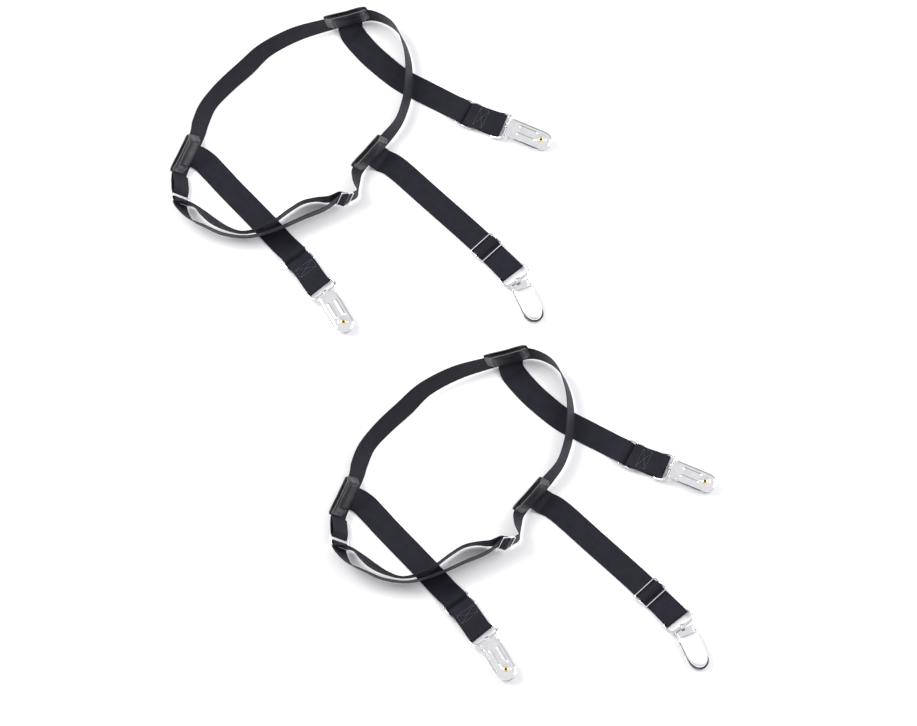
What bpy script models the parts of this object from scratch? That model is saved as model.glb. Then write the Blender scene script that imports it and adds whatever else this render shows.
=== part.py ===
"""A pair of shirt-stay thigh garters, lying loosely on a table.

Each garter is an elastic thigh band with an adjusting slider and a ring, and three elastic
straps. A strap is sewn into a leather tab on the band, laced through a three-bar slider, folded
round a wire ring and sewn back on to the slider. A sprung-steel lever clip hangs on the ring.

Lengths are in metres. Z is up, the table is at Z = 0, and the origin is under the middle.
"""

import math

import bmesh
import bpy
from mathutils import Matrix, Vector

MM = 0.001
UP = Vector((0, 0, 1))

# Clearance between neighbouring pieces.
GAP = 0.25 * MM

# Elastic webbing.
STRAP_WIDTH = 25 * MM
BAND_WIDTH = 20 * MM
WEB = 0.9 * MM
BAND_LIFT = 1.8 * MM

# Leather patches.
LEATHER = 1.0 * MM
TAB_LENGTH = 43 * MM
PATCH_TOP = 21 * MM
BACK_PATCH_FOOT = 0.5 * MM
FRONT_PATCH_FOOT = 6 * MM
STRAP_SEWN_HEIGHT = 15 * MM
STRAP_BEND_HEIGHT = 4 * MM
SEWN_GAP = 0.45 * MM

# Three-bar sliders, of thin wire.
SLIDER_WIRE = 0.7 * MM
STRAP_SLIDER_REACH = 8 * MM
BAND_SLIDER_REACH = 6 * MM
SLIDER_MARGIN = 1.3 * MM
# How far up a web has climbed halfway between a slider's bars, as a share of its height over the
# middle one.
WEAVE_RISE = 0.28

# Clip ring, of thicker wire.
RING_WIRE = 1.15 * MM
RING_LENGTH = 12.2 * MM
RING_WIDTH = 30.8 * MM
RING_TOP_CORNER = 2.0 * MM
RING_FOOT_CORNER = 5.0 * MM

# Band ring.
BAND_RING_WIRE = 0.8 * MM
BAND_RING_LENGTH = 11 * MM
BAND_RING_CORNER = 1.6 * MM
BAND_FOLD_SLACK = 4 * MM
# Where the band's sewn end stops, as a share of the way from its second station to its first.
BAND_END_SHARE = 0.15

# Clip, measured from the axis of the ring's lower bar: u runs to the tip, v across it, w from
# the back plate to the lever.
SHEET = 0.8 * MM
TONGUE_SLACK = 0.6 * MM
PLATE_MIDDLE = -(RING_WIRE + TONGUE_SLACK + SHEET / 2)
PLATE_START = 1.5 * MM
CLIP_TIP = 47.5 * MM
PLATE_HALF_WIDTH = 9.7 * MM
TONGUE_WIDTH = 4.5 * MM
TONGUE_RETURN = 2.5 * MM
PIVOT_U = 7.6 * MM
PIVOT_W = 1.2 * MM
EAR_RADIUS = 2.4 * MM
DIMPLE_RADIUS = 0.6 * MM
DIMPLE_DEPTH = 0.9 * MM
PAD_START = 16 * MM
PAD_END = 41 * MM
PAD_HALF_WIDTH = 7.5 * MM
PAD_TOP = 2.1 * MM
PAD_THIN = 1.2 * MM
NOTCH_DEPTH = 0.9 * MM
EYELET_U = 36.5 * MM
EYELET_HOLE = 1.0 * MM
EYELET_BARREL = 1.6 * MM
EYELET_FLANGE = 2.6 * MM
EYELET_HEAD = 0.5 * MM
LEVER_REAR = 10.8 * MM
LEVER_TIP = 46.8 * MM
LEVER_HALF_WIDTH = 9.6 * MM
LEVER_RIM = 2.5 * MM
LEVER_TOP = 6.3 * MM
CLIP_REST_GAP = 0.1 * MM
KNUCKLE_INNER = 7.0 * MM

# The two garters, by the point that each one's own coordinates start from.
GARTERS = {
    "near": Vector((0.0197, -0.1572, 0)),
    "far": Vector((-0.1373, 0.2073, 0)),
}

# The thigh band's single layer, from the ring over the left, top and right tabs to the slider:
# (x, y) of its lower edge, and how far its upper edge leans over in x and y. Millimetres.
BAND_LOOP = [
    (-111.6, -45, -14, -1),
    (-112, -27, -14, -2),
    (-103.5, -6, -14, -2),
    (-95, 15, -14, -2),
    (-91, 29, -15.5, -1),
    (-83.5, 47, -15.5, 0),
    (-68, 65, -14.5, 4),
    (-48.5, 84, -13.5, 6),
    (-30, 104, -11, 5),
    (-2, 120.5, -8.5, 5),
    (28, 131.5, -6, 3),
    (48, 136.8, -6, 3),
    (68.5, 142, -6, 3),
    (86, 136, -5, 2),
    (98, 123.5, -5.8, 2.5),
    (105.5, 105, -6.3, 1),
    (108.5, 85, -6.8, 1.5),
    (107.5, 60, -6.8, 0),
    (104, 44, -6.8, -2.5),
    (98, 28, -7, -3),
    (87.5, 11.5, -9.7, -2.5),
    (74, -5.5, -9.7, -2.5),
    (60.5, -22.5, -9.7, -2.5),
    (57.5, -33, -7.5, -3),
    (56, -42, -4, -2),
    (54.5, -50, 1, 0),
]
# The outer of its two front layers, from the slider to the ring.
BAND_OUTER = [
    (22, -65, 3, -3),
    (4, -73, 0, -5),
    (-23, -85.5, 0, -5.5),
    (-50, -93.5, 0, -6),
    (-75, -91, 1, -6),
    (-94, -82, 0, -6),
    (-105, -75.5, -5, -5),
    (-109.8, -67, -11, -2),
]
# The inner front layer, back from the ring to the slider.
BAND_INNER = [
    (-103.5, -61, -6, -2),
    (-97.5, -69, 2, -3),
    (-88, -78, 5, -3.5),
    (-74, -85, 3, -5),
    (-57, -89, 0, -6),
    (-40, -86, 0, -5),
    (-25.5, -77.5, 0, -5),
    (-12, -66.5, 0, -5),
    (1.5, -57.5, 0, -5),
    (14, -54.5, 1, -4.5),
    (24, -55.5, 3, -2),
]
BAND_SLIDER_PLACE = (40.5, -58)
BAND_SLIDER_LEAN = (5, 2)
BAND_SLIDER_HEADING = 191.0
BAND_SLIDER_LIFT = 2.3
BAND_RING_PLACE = (-111, -54.2)
BAND_RING_LEAN = (-13.5, -1)
BAND_RING_HEADING = -84.0
BAND_RING_LIFT = 0.8

# Straps. "tab" is the place on BAND_LOOP of the tab's middle, and "side" is +1 where the strap
# leaves the band on its right, seen along BAND_LOOP. "route" is the middle line on the table,
# up to the slider; headings are in degrees from +X. "front_up" is 1 where the strap's outer
# face, which carries the clip's lever, is uppermost. "slack" is how far the fold reaches past
# the middle of the ring's bar, and "fold_heading" is the way that the fold faces.
STRAPS = {
    "left": {
        "tab": 2,
        "side": 1,
        "route": [(-96, -10), (-84.5, -22.5), (-70, -39.5), (-40, -73), (-18, -98.5)],
        "slider": (-2.5, -117.5),
        "slider_heading": -52.5,
        "ring": (17.4, -145),
        "ring_heading": -53.0,
        "clip_heading": -61.0,
        "front_up": -1,
        "fold_heading": -49.0,
        "slack": 1.2,
    },
    "top": {
        "tab": 11,
        "side": 1,
        "route": [(49.5, 128), (58.5, 115.5), (73, 99.5), (97, 78.5), (121, 64.5), (144, 51.5)],
        "slider": (164, 39.5),
        "slider_heading": -26.0,
        "ring": (190.5, 29),
        "ring_heading": -22.0,
        "clip_heading": -24.5,
        "front_up": -1,
        "fold_heading": -22.0,
        "slack": 5.0,
    },
    "right": {
        "tab": 21,
        "side": -1,
        "route": [(80.5, -10), (94, -18.5), (127, -50.5), (161, -83.5)],
        "slider": (181, -104),
        "slider_heading": -45.5,
        "ring": (204.6, -129.8),
        "ring_heading": -54.0,
        "clip_heading": -66.5,
        "front_up": 1,
        "fold_heading": -50.0,
        "slack": 1.2,
    },
}

MATERIALS = {
    "band_elastic": ((0.022, 0.023, 0.028, 1), 0.75, 0.0),
    "strap_elastic": ((0.016, 0.016, 0.024, 1), 0.62, 0.0),
    "leather": ((0.045, 0.045, 0.052, 1), 0.42, 0.0),
    "chrome": ((0.83, 0.83, 0.85, 1), 0.12, 1.0),
    "brass": ((0.78, 0.53, 0.20, 1), 0.25, 1.0),
    "plastic": ((0.06, 0.06, 0.062, 1), 0.5, 0.0),
}


def material(slot):
    """The material of a slot, made on first use."""
    found = bpy.data.materials.get(slot)
    if found:
        return found
    colour, roughness, metallic = MATERIALS[slot]
    made = bpy.data.materials.new(slot)
    made.use_nodes = True
    shader = made.node_tree.nodes["Principled BSDF"]
    shader.inputs["Base Color"].default_value = colour
    shader.inputs["Roughness"].default_value = roughness
    shader.inputs["Metallic"].default_value = metallic
    return made


def new_object(name, mesh, slot, parent=None):
    """An object of a mesh, smooth where its faces meet at less than 35 degrees."""
    obj = bpy.data.objects.new(name, mesh)
    bpy.context.scene.collection.objects.link(obj)
    if not mesh.materials:
        mesh.materials.append(material(slot))
    mesh.shade_smooth()
    mesh.set_sharp_from_angle(angle=math.radians(35))
    obj.parent = parent
    return obj


def mesh_from(build, name):
    """A mesh filled by build(bm), with its faces turned outwards."""
    bm = bmesh.new()
    build(bm)
    bmesh.ops.recalc_face_normals(bm, faces=bm.faces)
    mesh = bpy.data.meshes.new(name)
    bm.to_mesh(mesh)
    bm.free()
    return mesh


def heading(degrees):
    """The level unit vector at an angle from +X."""
    return Vector((math.cos(math.radians(degrees)), math.sin(math.radians(degrees)), 0))


def frame_matrix(u, v, w, origin):
    """The matrix that takes (u, v, w) coordinates to the garter's own."""
    turn = Matrix((u, v, w)).transposed().to_4x4()
    return Matrix.Translation(origin) @ turn


def smooth_run(stations, step):
    """Stations (centre, across) along a smooth curve through the given ones, step apart."""
    out = []
    last = len(stations) - 1
    for i in range(last):
        before = stations[max(i - 1, 0)]
        start = stations[i]
        end = stations[i + 1]
        after = stations[min(i + 2, last)]
        pieces = max(1, round((end[0] - start[0]).length / step))
        for k in range(pieces):
            t = k / pieces
            out.append(tuple(spline(before[j], start[j], end[j], after[j], t) for j in (0, 1)))
    out.append(stations[last])
    return out


def spline(a, b, c, d, t):
    """A Catmull-Rom curve from b to c."""
    linear = (c - a) * t
    square = (2 * a - 5 * b + 4 * c - d) * t**2
    cube = (3 * b - a - 3 * c + d) * t**3
    return (2 * b + linear + square + cube) / 2


def arc_stations(centre, across, out, back, radius, steps):
    """Half a turn about the line through centre along across, from -back over out to +back."""
    found = []
    for k in range(steps + 1):
        angle = math.pi * k / steps
        point = centre + radius * (out * math.sin(angle) - back * math.cos(angle))
        found.append((point, across))
    return found


def ribbon(bm, stations, width, thickness):
    """A closed strip of rectangular section through stations (centre, across)."""
    rings = []
    for i, (centre, across) in enumerate(stations):
        ahead = stations[min(i + 1, len(stations) - 1)][0]
        behind = stations[max(i - 1, 0)][0]
        side = across.normalized()
        normal = (ahead - behind).cross(side).normalized() * thickness / 2
        side = side * width / 2
        corners = (side + normal, -side + normal, -side - normal, side - normal)
        rings.append([bm.verts.new(centre + corner) for corner in corners])
    for ring, following in zip(rings, rings[1:]):
        for k in range(4):
            m = (k + 1) % 4
            bm.faces.new((ring[k], ring[m], following[m], following[k]))
    bm.faces.new(reversed(rings[0]))
    bm.faces.new(rings[-1])


def wire(bm, points, radius, sides):
    """A closed loop of round wire through points that lie in the XY plane."""
    rings = []
    count = len(points)
    for i, point in enumerate(points):
        along = (points[(i + 1) % count] - points[i - 1]).normalized()
        level = along.cross(UP)
        ring = []
        for k in range(sides):
            angle = 2 * math.pi * k / sides
            ring.append(bm.verts.new(point + radius * (level * math.cos(angle) + UP * math.sin(angle))))
        rings.append(ring)
    for i in range(count):
        ring = rings[i]
        following = rings[(i + 1) % count]
        for k in range(sides):
            m = (k + 1) % sides
            bm.faces.new((ring[k], ring[m], following[m], following[k]))


def rounded_rectangle(x0, x1, half_y, corner0, corner1, steps):
    """Points round a rectangle, with one corner radius at x0 and another at x1."""
    corners = (
        (x1 - corner1, half_y - corner1, corner1, 0),
        (x0 + corner0, half_y - corner0, corner0, 90),
        (x0 + corner0, corner0 - half_y, corner0, 180),
        (x1 - corner1, corner1 - half_y, corner1, 270),
    )
    points = []
    for x, y, radius, start in corners:
        for k in range(steps + 1):
            points.append(Vector((x, y, 0)) + radius * heading(start + 90 * k / steps))
    return points


def circle(x, y, radius, steps):
    """Points round a circle in the XY plane."""
    return [Vector((x, y, 0)) + radius * heading(360 * k / steps) for k in range(steps)]


def prism(bm, outline, holes, low, high):
    """A plate between two heights, with holes through it."""
    edges = []
    for loop in [outline, *holes]:
        verts = [bm.verts.new((p.x, p.y, low)) for p in loop]
        edges += [bm.edges.new((verts[k - 1], verts[k])) for k in range(len(verts))]
    flat = bmesh.ops.triangle_fill(bm, use_beauty=True, edges=edges, normal=-UP)
    faces = [g for g in flat["geom"] if isinstance(g, bmesh.types.BMFace)]
    top = bmesh.ops.extrude_face_region(bm, geom=faces, use_keep_orig=True)
    raised = [g for g in top["geom"] if isinstance(g, bmesh.types.BMVert)]
    bmesh.ops.translate(bm, verts=raised, vec=(0, 0, high - low))


def side_prism(bm, profile, v0, v1):
    """A block of a (u, w) profile, from v0 to v1."""
    near = [bm.verts.new((u, v0, w)) for u, w in profile]
    far = [bm.verts.new((u, v1, w)) for u, w in profile]
    bm.faces.new(near)
    bm.faces.new(reversed(far))
    for k in range(len(profile)):
        bm.faces.new((near[k - 1], far[k - 1], far[k], near[k]))


def combine(base, tools, name):
    """The mesh of base after each Boolean in tools, a list of (mesh, operation)."""
    body = bpy.data.objects.new(name + "_blank", base)
    bpy.context.scene.collection.objects.link(body)
    helpers = []
    for mesh, operation in tools:
        helper = bpy.data.objects.new(name + "_tool", mesh)
        bpy.context.scene.collection.objects.link(helper)
        helper.hide_render = True
        helper.display_type = "WIRE"
        step = body.modifiers.new("step", "BOOLEAN")
        step.operation = operation
        step.object = helper
        step.solver = "EXACT"
        helpers.append(helper)
    view = bpy.context.evaluated_depsgraph_get()
    made = bpy.data.meshes.new_from_object(body.evaluated_get(view))
    made.name = name
    for spent in [body, *helpers]:
        bpy.data.objects.remove(spent)
    return made


def slider_mesh(reach, half_width):
    """A three-bar slider in its own plane: bars along Y, at -reach, 0 and +reach."""
    outline = rounded_rectangle(-reach, reach, half_width, 1.5 * MM, 1.5 * MM, 3)
    frame = mesh_from(lambda bm: wire(bm, outline, SLIDER_WIRE, 8), "slider_frame")

    def middle(bm):
        turn = Matrix.Rotation(math.radians(90), 4, "X") @ Matrix.Rotation(math.radians(22.5), 4, "Z")
        size = 0.98 * SLIDER_WIRE
        bmesh.ops.create_cone(
            bm, cap_ends=True, segments=8, radius1=size, radius2=size, depth=2 * half_width, matrix=turn
        )

    return combine(frame, [(mesh_from(middle, "slider_bar"), "UNION")], "slider")


def ring_mesh():
    """The clip ring: its straight bar at x = -RING_LENGTH, its lower bar on the Y axis."""
    half = RING_WIDTH / 2 - RING_WIRE
    outline = rounded_rectangle(-RING_LENGTH, 0, half, RING_TOP_CORNER, RING_FOOT_CORNER, 4)
    return mesh_from(lambda bm: wire(bm, outline, RING_WIRE, 8), "clip_ring")


def band_ring_mesh():
    """The band's rectangular ring, with its bars at x = -half and +half its length."""
    half = BAND_WIDTH / 2 + SLIDER_MARGIN + BAND_RING_WIRE
    reach = BAND_RING_LENGTH / 2
    outline = rounded_rectangle(-reach, reach, half, BAND_RING_CORNER, BAND_RING_CORNER, 3)
    return mesh_from(lambda bm: wire(bm, outline, BAND_RING_WIRE, 8), "band_ring")


def tip_outline(start, tip, half_width, steps):
    """A strip's outline from a straight edge at start to a round tip."""
    points = [Vector((start, -half_width, 0))]
    for k in range(steps + 1):
        points.append(Vector((tip - half_width, 0, 0)) + half_width * heading(180 * k / steps - 90))
    points.append(Vector((start, half_width, 0)))
    return points


def plate_mesh():
    """The clip's back plate, with its eyelet hole, hinge ears, dimples and hooked tongue."""
    outline = tip_outline(PLATE_START, CLIP_TIP, PLATE_HALF_WIDTH, 12)
    hole = circle(EYELET_U, 0, EYELET_BARREL + GAP, 12)
    low = PLATE_MIDDLE - SHEET / 2
    plate = mesh_from(lambda bm: prism(bm, outline, [hole], low, low + SHEET), "plate")
    tools = []
    foot = PLATE_MIDDLE
    for side in (-1, 1):
        profile = [(PIVOT_U - 3.6 * MM, foot), (PIVOT_U + 2.4 * MM, foot)]
        for k in range(7):
            bend = math.radians(180 * k / 6)
            profile.append((PIVOT_U + EAR_RADIUS * math.cos(bend), PIVOT_W + EAR_RADIUS * math.sin(bend)))
        inner = side * (PLATE_HALF_WIDTH - SHEET)
        outer = side * (PLATE_HALF_WIDTH - 0.01 * MM)
        ear = mesh_from(lambda bm: side_prism(bm, profile, inner, outer), "ear")
        pin = [
            (PIVOT_U + DIMPLE_RADIUS * math.cos(a), PIVOT_W + DIMPLE_RADIUS * math.sin(a))
            for a in (math.pi * k / 4 for k in range(8))
        ]
        dimple = mesh_from(
            lambda bm: side_prism(bm, pin, inner - side * DIMPLE_DEPTH, inner + side * SHEET / 2), "dimple"
        )
        tools += [(ear, "UNION"), (dimple, "UNION")]
    across = Vector((0, 1, 0))
    radius = -PLATE_MIDDLE
    bend = arc_stations(Vector(), across, Vector((-1, 0, 0)), UP, radius, 8)
    start = (Vector((PLATE_START + 2 * SHEET, 0, PLATE_MIDDLE)), across)
    end = (Vector((TONGUE_RETURN, 0, radius)), across)
    tongue = mesh_from(
        lambda bm: ribbon(bm, [start, *bend, end], TONGUE_WIDTH, 0.98 * SHEET), "tongue"
    )
    return combine(plate, [*tools, (tongue, "UNION")], "clip_plate")


def lever_levels(inset):
    """(inset, height) of the lever's skin, from its rim up; inset moves it inwards."""
    return [
        (inset, LEVER_RIM),
        (inset + 0.2 * MM, LEVER_TOP - 2.0 * MM - inset),
        (inset + 1.2 * MM, LEVER_TOP - 0.7 * MM - inset),
        (inset + 3.6 * MM, LEVER_TOP - inset),
    ]


def lever_outline(inset):
    """The lever's outline, drawn inwards by inset: straight sides and a tapering, blunt tip."""
    side = LEVER_HALF_WIDTH - inset
    rear = LEVER_REAR + inset
    tip = LEVER_TIP - inset
    shoulder = 30 * MM
    points = [Vector((rear, -side, 0))]
    for k in range(13):
        angle = math.radians(180 * k / 12 - 90)
        along = math.copysign(abs(math.cos(angle)) ** 0.85, math.cos(angle))
        points.append(Vector((shoulder + (tip - shoulder) * along, side * math.sin(angle), 0)))
    points.append(Vector((rear, side, 0)))
    return points


def lever_mesh():
    """The clip's lever: a domed tray, with two knuckles that turn on the ears' dimples."""

    def tray(bm):
        rings = []
        for inset, height in lever_levels(0):
            rings.append([bm.verts.new(p + height * UP) for p in lever_outline(inset)])
        for inset, height in lever_levels(SHEET):
            rings.insert(0, [bm.verts.new(p + height * UP) for p in lever_outline(inset)])
        count = len(rings[0])
        for ring, following in zip(rings, rings[1:]):
            for k in range(count):
                bm.faces.new((ring[k - 1], ring[k], following[k], following[k - 1]))
        bm.faces.new(reversed(rings[0]))
        bm.faces.new(rings[-1])

    profile = [
        (PIVOT_U - 1.4 * MM, PIVOT_W - 0.4 * MM),
        (PIVOT_U - 0.4 * MM, PIVOT_W - 1.4 * MM),
        (PIVOT_U + 1.2 * MM, PIVOT_W - 1.2 * MM),
        (LEVER_REAR + 1.6 * MM, LEVER_RIM + 0.3 * MM),
        (LEVER_REAR + 1.6 * MM, LEVER_RIM + 1.8 * MM),
        (LEVER_REAR + 0.4 * MM, LEVER_RIM + 1.8 * MM),
        (PIVOT_U - 1.2 * MM, PIVOT_W + 1.1 * MM),
    ]
    outer = PLATE_HALF_WIDTH - SHEET - GAP
    tools = []
    for side in (-1, 1):
        block = mesh_from(lambda bm: side_prism(bm, profile, side * KNUCKLE_INNER, side * outer), "knuckle")
        bore = [
            (PIVOT_U + r * math.cos(a), PIVOT_W + r * math.sin(a))
            for r in [DIMPLE_RADIUS + GAP]
            for a in (math.pi * k / 4 for k in range(8))
        ]
        cut = mesh_from(
            lambda bm: side_prism(bm, bore, side * (KNUCKLE_INNER - MM), side * (outer + MM)), "bore"
        )
        tools += [(block, "UNION"), (cut, "DIFFERENCE")]
    return combine(mesh_from(tray, "tray"), tools, "clip_lever")


def pad_mesh():
    """The plastic pad on the back plate, thinner where the eyelet rivets it down."""
    low = PLATE_MIDDLE + SHEET / 2 + GAP
    step = EYELET_U - EYELET_FLANGE - GAP
    foot = low + PAD_THIN
    outline = tip_outline(PAD_START, PAD_END, PAD_HALF_WIDTH, 8)
    hole = circle(EYELET_U, 0, EYELET_BARREL + GAP, 12)
    base = mesh_from(lambda bm: prism(bm, outline, [hole], low, PAD_TOP), "pad")
    relief = [(step, foot), (PAD_END + MM, foot), (PAD_END + MM, PAD_TOP + MM), (step, PAD_TOP + MM)]
    wide = PAD_HALF_WIDTH + MM
    tools = [(mesh_from(lambda bm: side_prism(bm, relief, -wide, wide), "relief"), "DIFFERENCE")]
    grooves = 4
    notch_top = PAD_TOP + 0.3 * MM
    for k in range(grooves):
        middle = PAD_START + (step - PAD_START) * (k + 0.5) / grooves
        notch = [(middle, PAD_TOP - NOTCH_DEPTH), (middle + MM, notch_top), (middle - MM, notch_top)]
        cut = mesh_from(lambda bm: side_prism(bm, notch, -wide, wide), "notch")
        tools.append((cut, "DIFFERENCE"))
    return combine(base, tools, "clip_pad")


def eyelet_mesh():
    """The brass eyelet: a barrel through plate and pad, with a flange on the plate's back."""
    back = PLATE_MIDDLE - SHEET / 2 - GAP
    inner_end = PLATE_MIDDLE + SHEET / 2 + GAP + PAD_THIN + GAP
    profile = [
        (EYELET_HOLE, inner_end + 0.4 * MM),
        (EYELET_HOLE, back - 0.2 * MM),
        (EYELET_HOLE + 0.4 * MM, back - EYELET_HEAD),
        (EYELET_FLANGE - 0.4 * MM, back - 0.4 * MM),
        (EYELET_FLANGE, back),
        (EYELET_BARREL, back),
        (EYELET_BARREL, inner_end),
        (EYELET_FLANGE - 0.3 * MM, inner_end),
        (EYELET_FLANGE - 0.4 * MM, inner_end + 0.4 * MM),
    ]
    steps = 16

    def turned(bm):
        centre = Vector((EYELET_U, 0, 0))
        rings = []
        for k in range(steps):
            out = heading(360 * k / steps)
            rings.append([bm.verts.new(centre + radius * out + height * UP) for radius, height in profile])
        for k in range(steps):
            for m in range(len(profile)):
                bm.faces.new((rings[k - 1][m - 1], rings[k][m - 1], rings[k][m], rings[k - 1][m]))

    return mesh_from(turned, "clip_eyelet")


def leaning(place, width):
    """The middle of a band station and its lean as a vector of the band's width."""
    x, y, lean_x, lean_y = (value * MM for value in place)
    lean = Vector((lean_x, lean_y, math.sqrt(width**2 - lean_x**2 - lean_y**2)))
    return Vector((x, y, BAND_LIFT)) + lean / 2, lean


def slider_weave(centre, along, front, across, reach):
    """Where a web passes a slider: behind the outer bars, and over the loop on the middle bar."""
    behind = SLIDER_WIRE + GAP + WEB / 2
    over = behind + WEB + GAP
    rising = WEAVE_RISE * over
    half = reach / 2
    offsets = [(-reach, -behind), (-half, rising), (0, over), (half, rising), (reach, -behind)]
    return [(centre + along * s + front * n, across) for s, n in offsets]


def slider_return(centre, along, front, across, reach):
    """The web's sewn end: in behind the outer bar and round the slider's middle bar."""
    radius = SLIDER_WIRE + GAP + WEB / 2
    deep = radius + WEB + GAP
    into = [
        (centre + along * (reach + 3 * MM) - front * deep, across),
        (centre + along * reach - front * deep, across),
        (centre + along * reach * 0.55 - front * (deep + radius) / 2, across),
    ]
    return into, arc_stations(centre, across, -along, front, radius, 6)


def square_to(across, towards):
    """The unit vector nearest to towards that is square to across."""
    side = across.normalized()
    return (towards - side * towards.dot(side)).normalized()


def band_frames():
    """The centre, along, front and across vectors of the band's slider and of its ring."""
    slider_middle, slider_lean = leaning((*BAND_SLIDER_PLACE, *BAND_SLIDER_LEAN), BAND_WIDTH)
    slider_middle += UP * BAND_SLIDER_LIFT * MM
    slider_along = square_to(slider_lean, heading(BAND_SLIDER_HEADING))
    ring_middle, ring_lean = leaning((*BAND_RING_PLACE, *BAND_RING_LEAN), BAND_WIDTH)
    ring_middle += UP * BAND_RING_LIFT * MM
    ring_along = square_to(ring_lean, heading(BAND_RING_HEADING))
    slider = (slider_middle, slider_along, slider_along.cross(-slider_lean).normalized(), slider_lean)
    ring = (ring_middle, ring_along, ring_along.cross(ring_lean).normalized(), ring_lean)
    return slider, ring


def band_stations():
    """The whole thigh band, from its end sewn at the left tab to its end on the slider."""
    slider, ring = band_frames()
    centre, along, outward, across = ring
    reach = BAND_RING_LENGTH / 2
    turn = BAND_RING_WIRE + GAP + WEB / 2
    upper = centre - along * reach
    lower = centre + along * reach
    loop = [leaning(place, BAND_WIDTH) for place in BAND_LOOP]
    first, first_lean = loop[1]
    end = (first.lerp(loop[0][0], BAND_END_SHARE) - outward * (WEB + 2 * GAP), first_lean)
    # out from the end to the ring's upper bar, and back up as the band's outer layer
    near = (upper - along * 5 * MM - outward * (turn + 1.5 * MM), across)
    stations = smooth_run([end, near, (upper - outward * turn, across)], 5 * MM)
    stations += arc_stations(upper, across, along, outward, turn, 6)[1:]
    weave = slider_weave(slider[0], slider[1], slider[2], slider[3], BAND_SLIDER_REACH)
    stations += smooth_run([stations[-1], *loop[1:], *weave], 5 * MM)[1:]
    # along the front to the ring's lower bar, and back to the slider
    outer = [leaning(place, BAND_WIDTH) for place in BAND_OUTER]
    loose = lower - along * BAND_FOLD_SLACK
    entry = [(lower + outward * turn, across), (loose + outward * turn, across)]
    stations += smooth_run([weave[-1], *outer, *entry], 6 * MM)[1:]
    stations += arc_stations(loose, across, -along, -outward, turn, 6)[1:]
    stations.append((lower - outward * turn, across))
    inner = [leaning(place, BAND_WIDTH) for place in BAND_INNER]
    into, loop_end = slider_return(slider[0], slider[1], slider[2], slider[3], BAND_SLIDER_REACH)
    stations += smooth_run([stations[-1], *inner, *into, loop_end[0]], 6 * MM)[1:]
    return stations + loop_end[1:]


def nearest_station(stations, point):
    """The index of the station whose centre is nearest to a point."""
    return min(range(len(stations)), key=lambda i: (stations[i][0] - point).length)


def walk(stations, start, distance):
    """The station that lies a distance along the strip from a given one, and the next index."""
    step = 1 if distance > 0 else -1
    left = abs(distance)
    i = start
    while True:
        here = stations[i]
        ahead = stations[i + step]
        span = (ahead[0] - here[0]).length
        if span >= left:
            t = left / span
            return i, tuple(here[j].lerp(ahead[j], t) for j in (0, 1))
        left -= span
        i += step


def patch_stations(stations, middle, side, offset, foot, top):
    """A leather patch over the band, on one side of it, between two heights up its width."""
    first, start = walk(stations, middle, -TAB_LENGTH / 2)
    last, end = walk(stations, middle, TAB_LENGTH / 2)
    spread = [start, *stations[first : last + 1], end]
    out = []
    for i, (centre, across) in enumerate(spread):
        ahead = spread[min(i + 1, len(spread) - 1)][0]
        behind = spread[max(i - 1, 0)][0]
        up = across.normalized()
        normal = (ahead - behind).cross(up).normalized() * side
        height = (foot + top) / 2 - BAND_WIDTH / 2
        out.append((centre + up * height + normal * offset, across))
    return out


def strap_frames(spec):
    """The frames of a strap's slider, ring and clip, in the garter's coordinates."""
    front = UP * spec["front_up"]
    behind = SLIDER_WIRE + GAP + WEB / 2
    along = heading(spec["slider_heading"])
    x, y = spec["slider"]
    centre = Vector((x * MM, y * MM, behind + WEB + GAP + WEB / 2))
    slider = frame_matrix(along, front.cross(along), front, centre)
    # the ring rises from the strap's fold to the height that its clip holds it at
    x, y = spec["ring"]
    bar = Vector((x * MM, y * MM, RING_WIRE + GAP + WEB))
    lowest = LEVER_TOP
    if spec["front_up"] > 0:
        lowest = -PLATE_MIDDLE + SHEET / 2 + GAP + EYELET_HEAD
    rise = lowest + CLIP_REST_GAP - bar.z
    reach = math.sqrt(RING_LENGTH**2 - rise**2)
    foot = bar + heading(spec["ring_heading"]) * reach + UP * rise
    along = (foot - bar).normalized()
    across = front.cross(along).normalized()
    ring = frame_matrix(along, across, along.cross(across), foot)
    along = heading(spec["clip_heading"])
    clip = frame_matrix(along, front.cross(along), front, foot)
    return slider, ring, clip, bar


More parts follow.
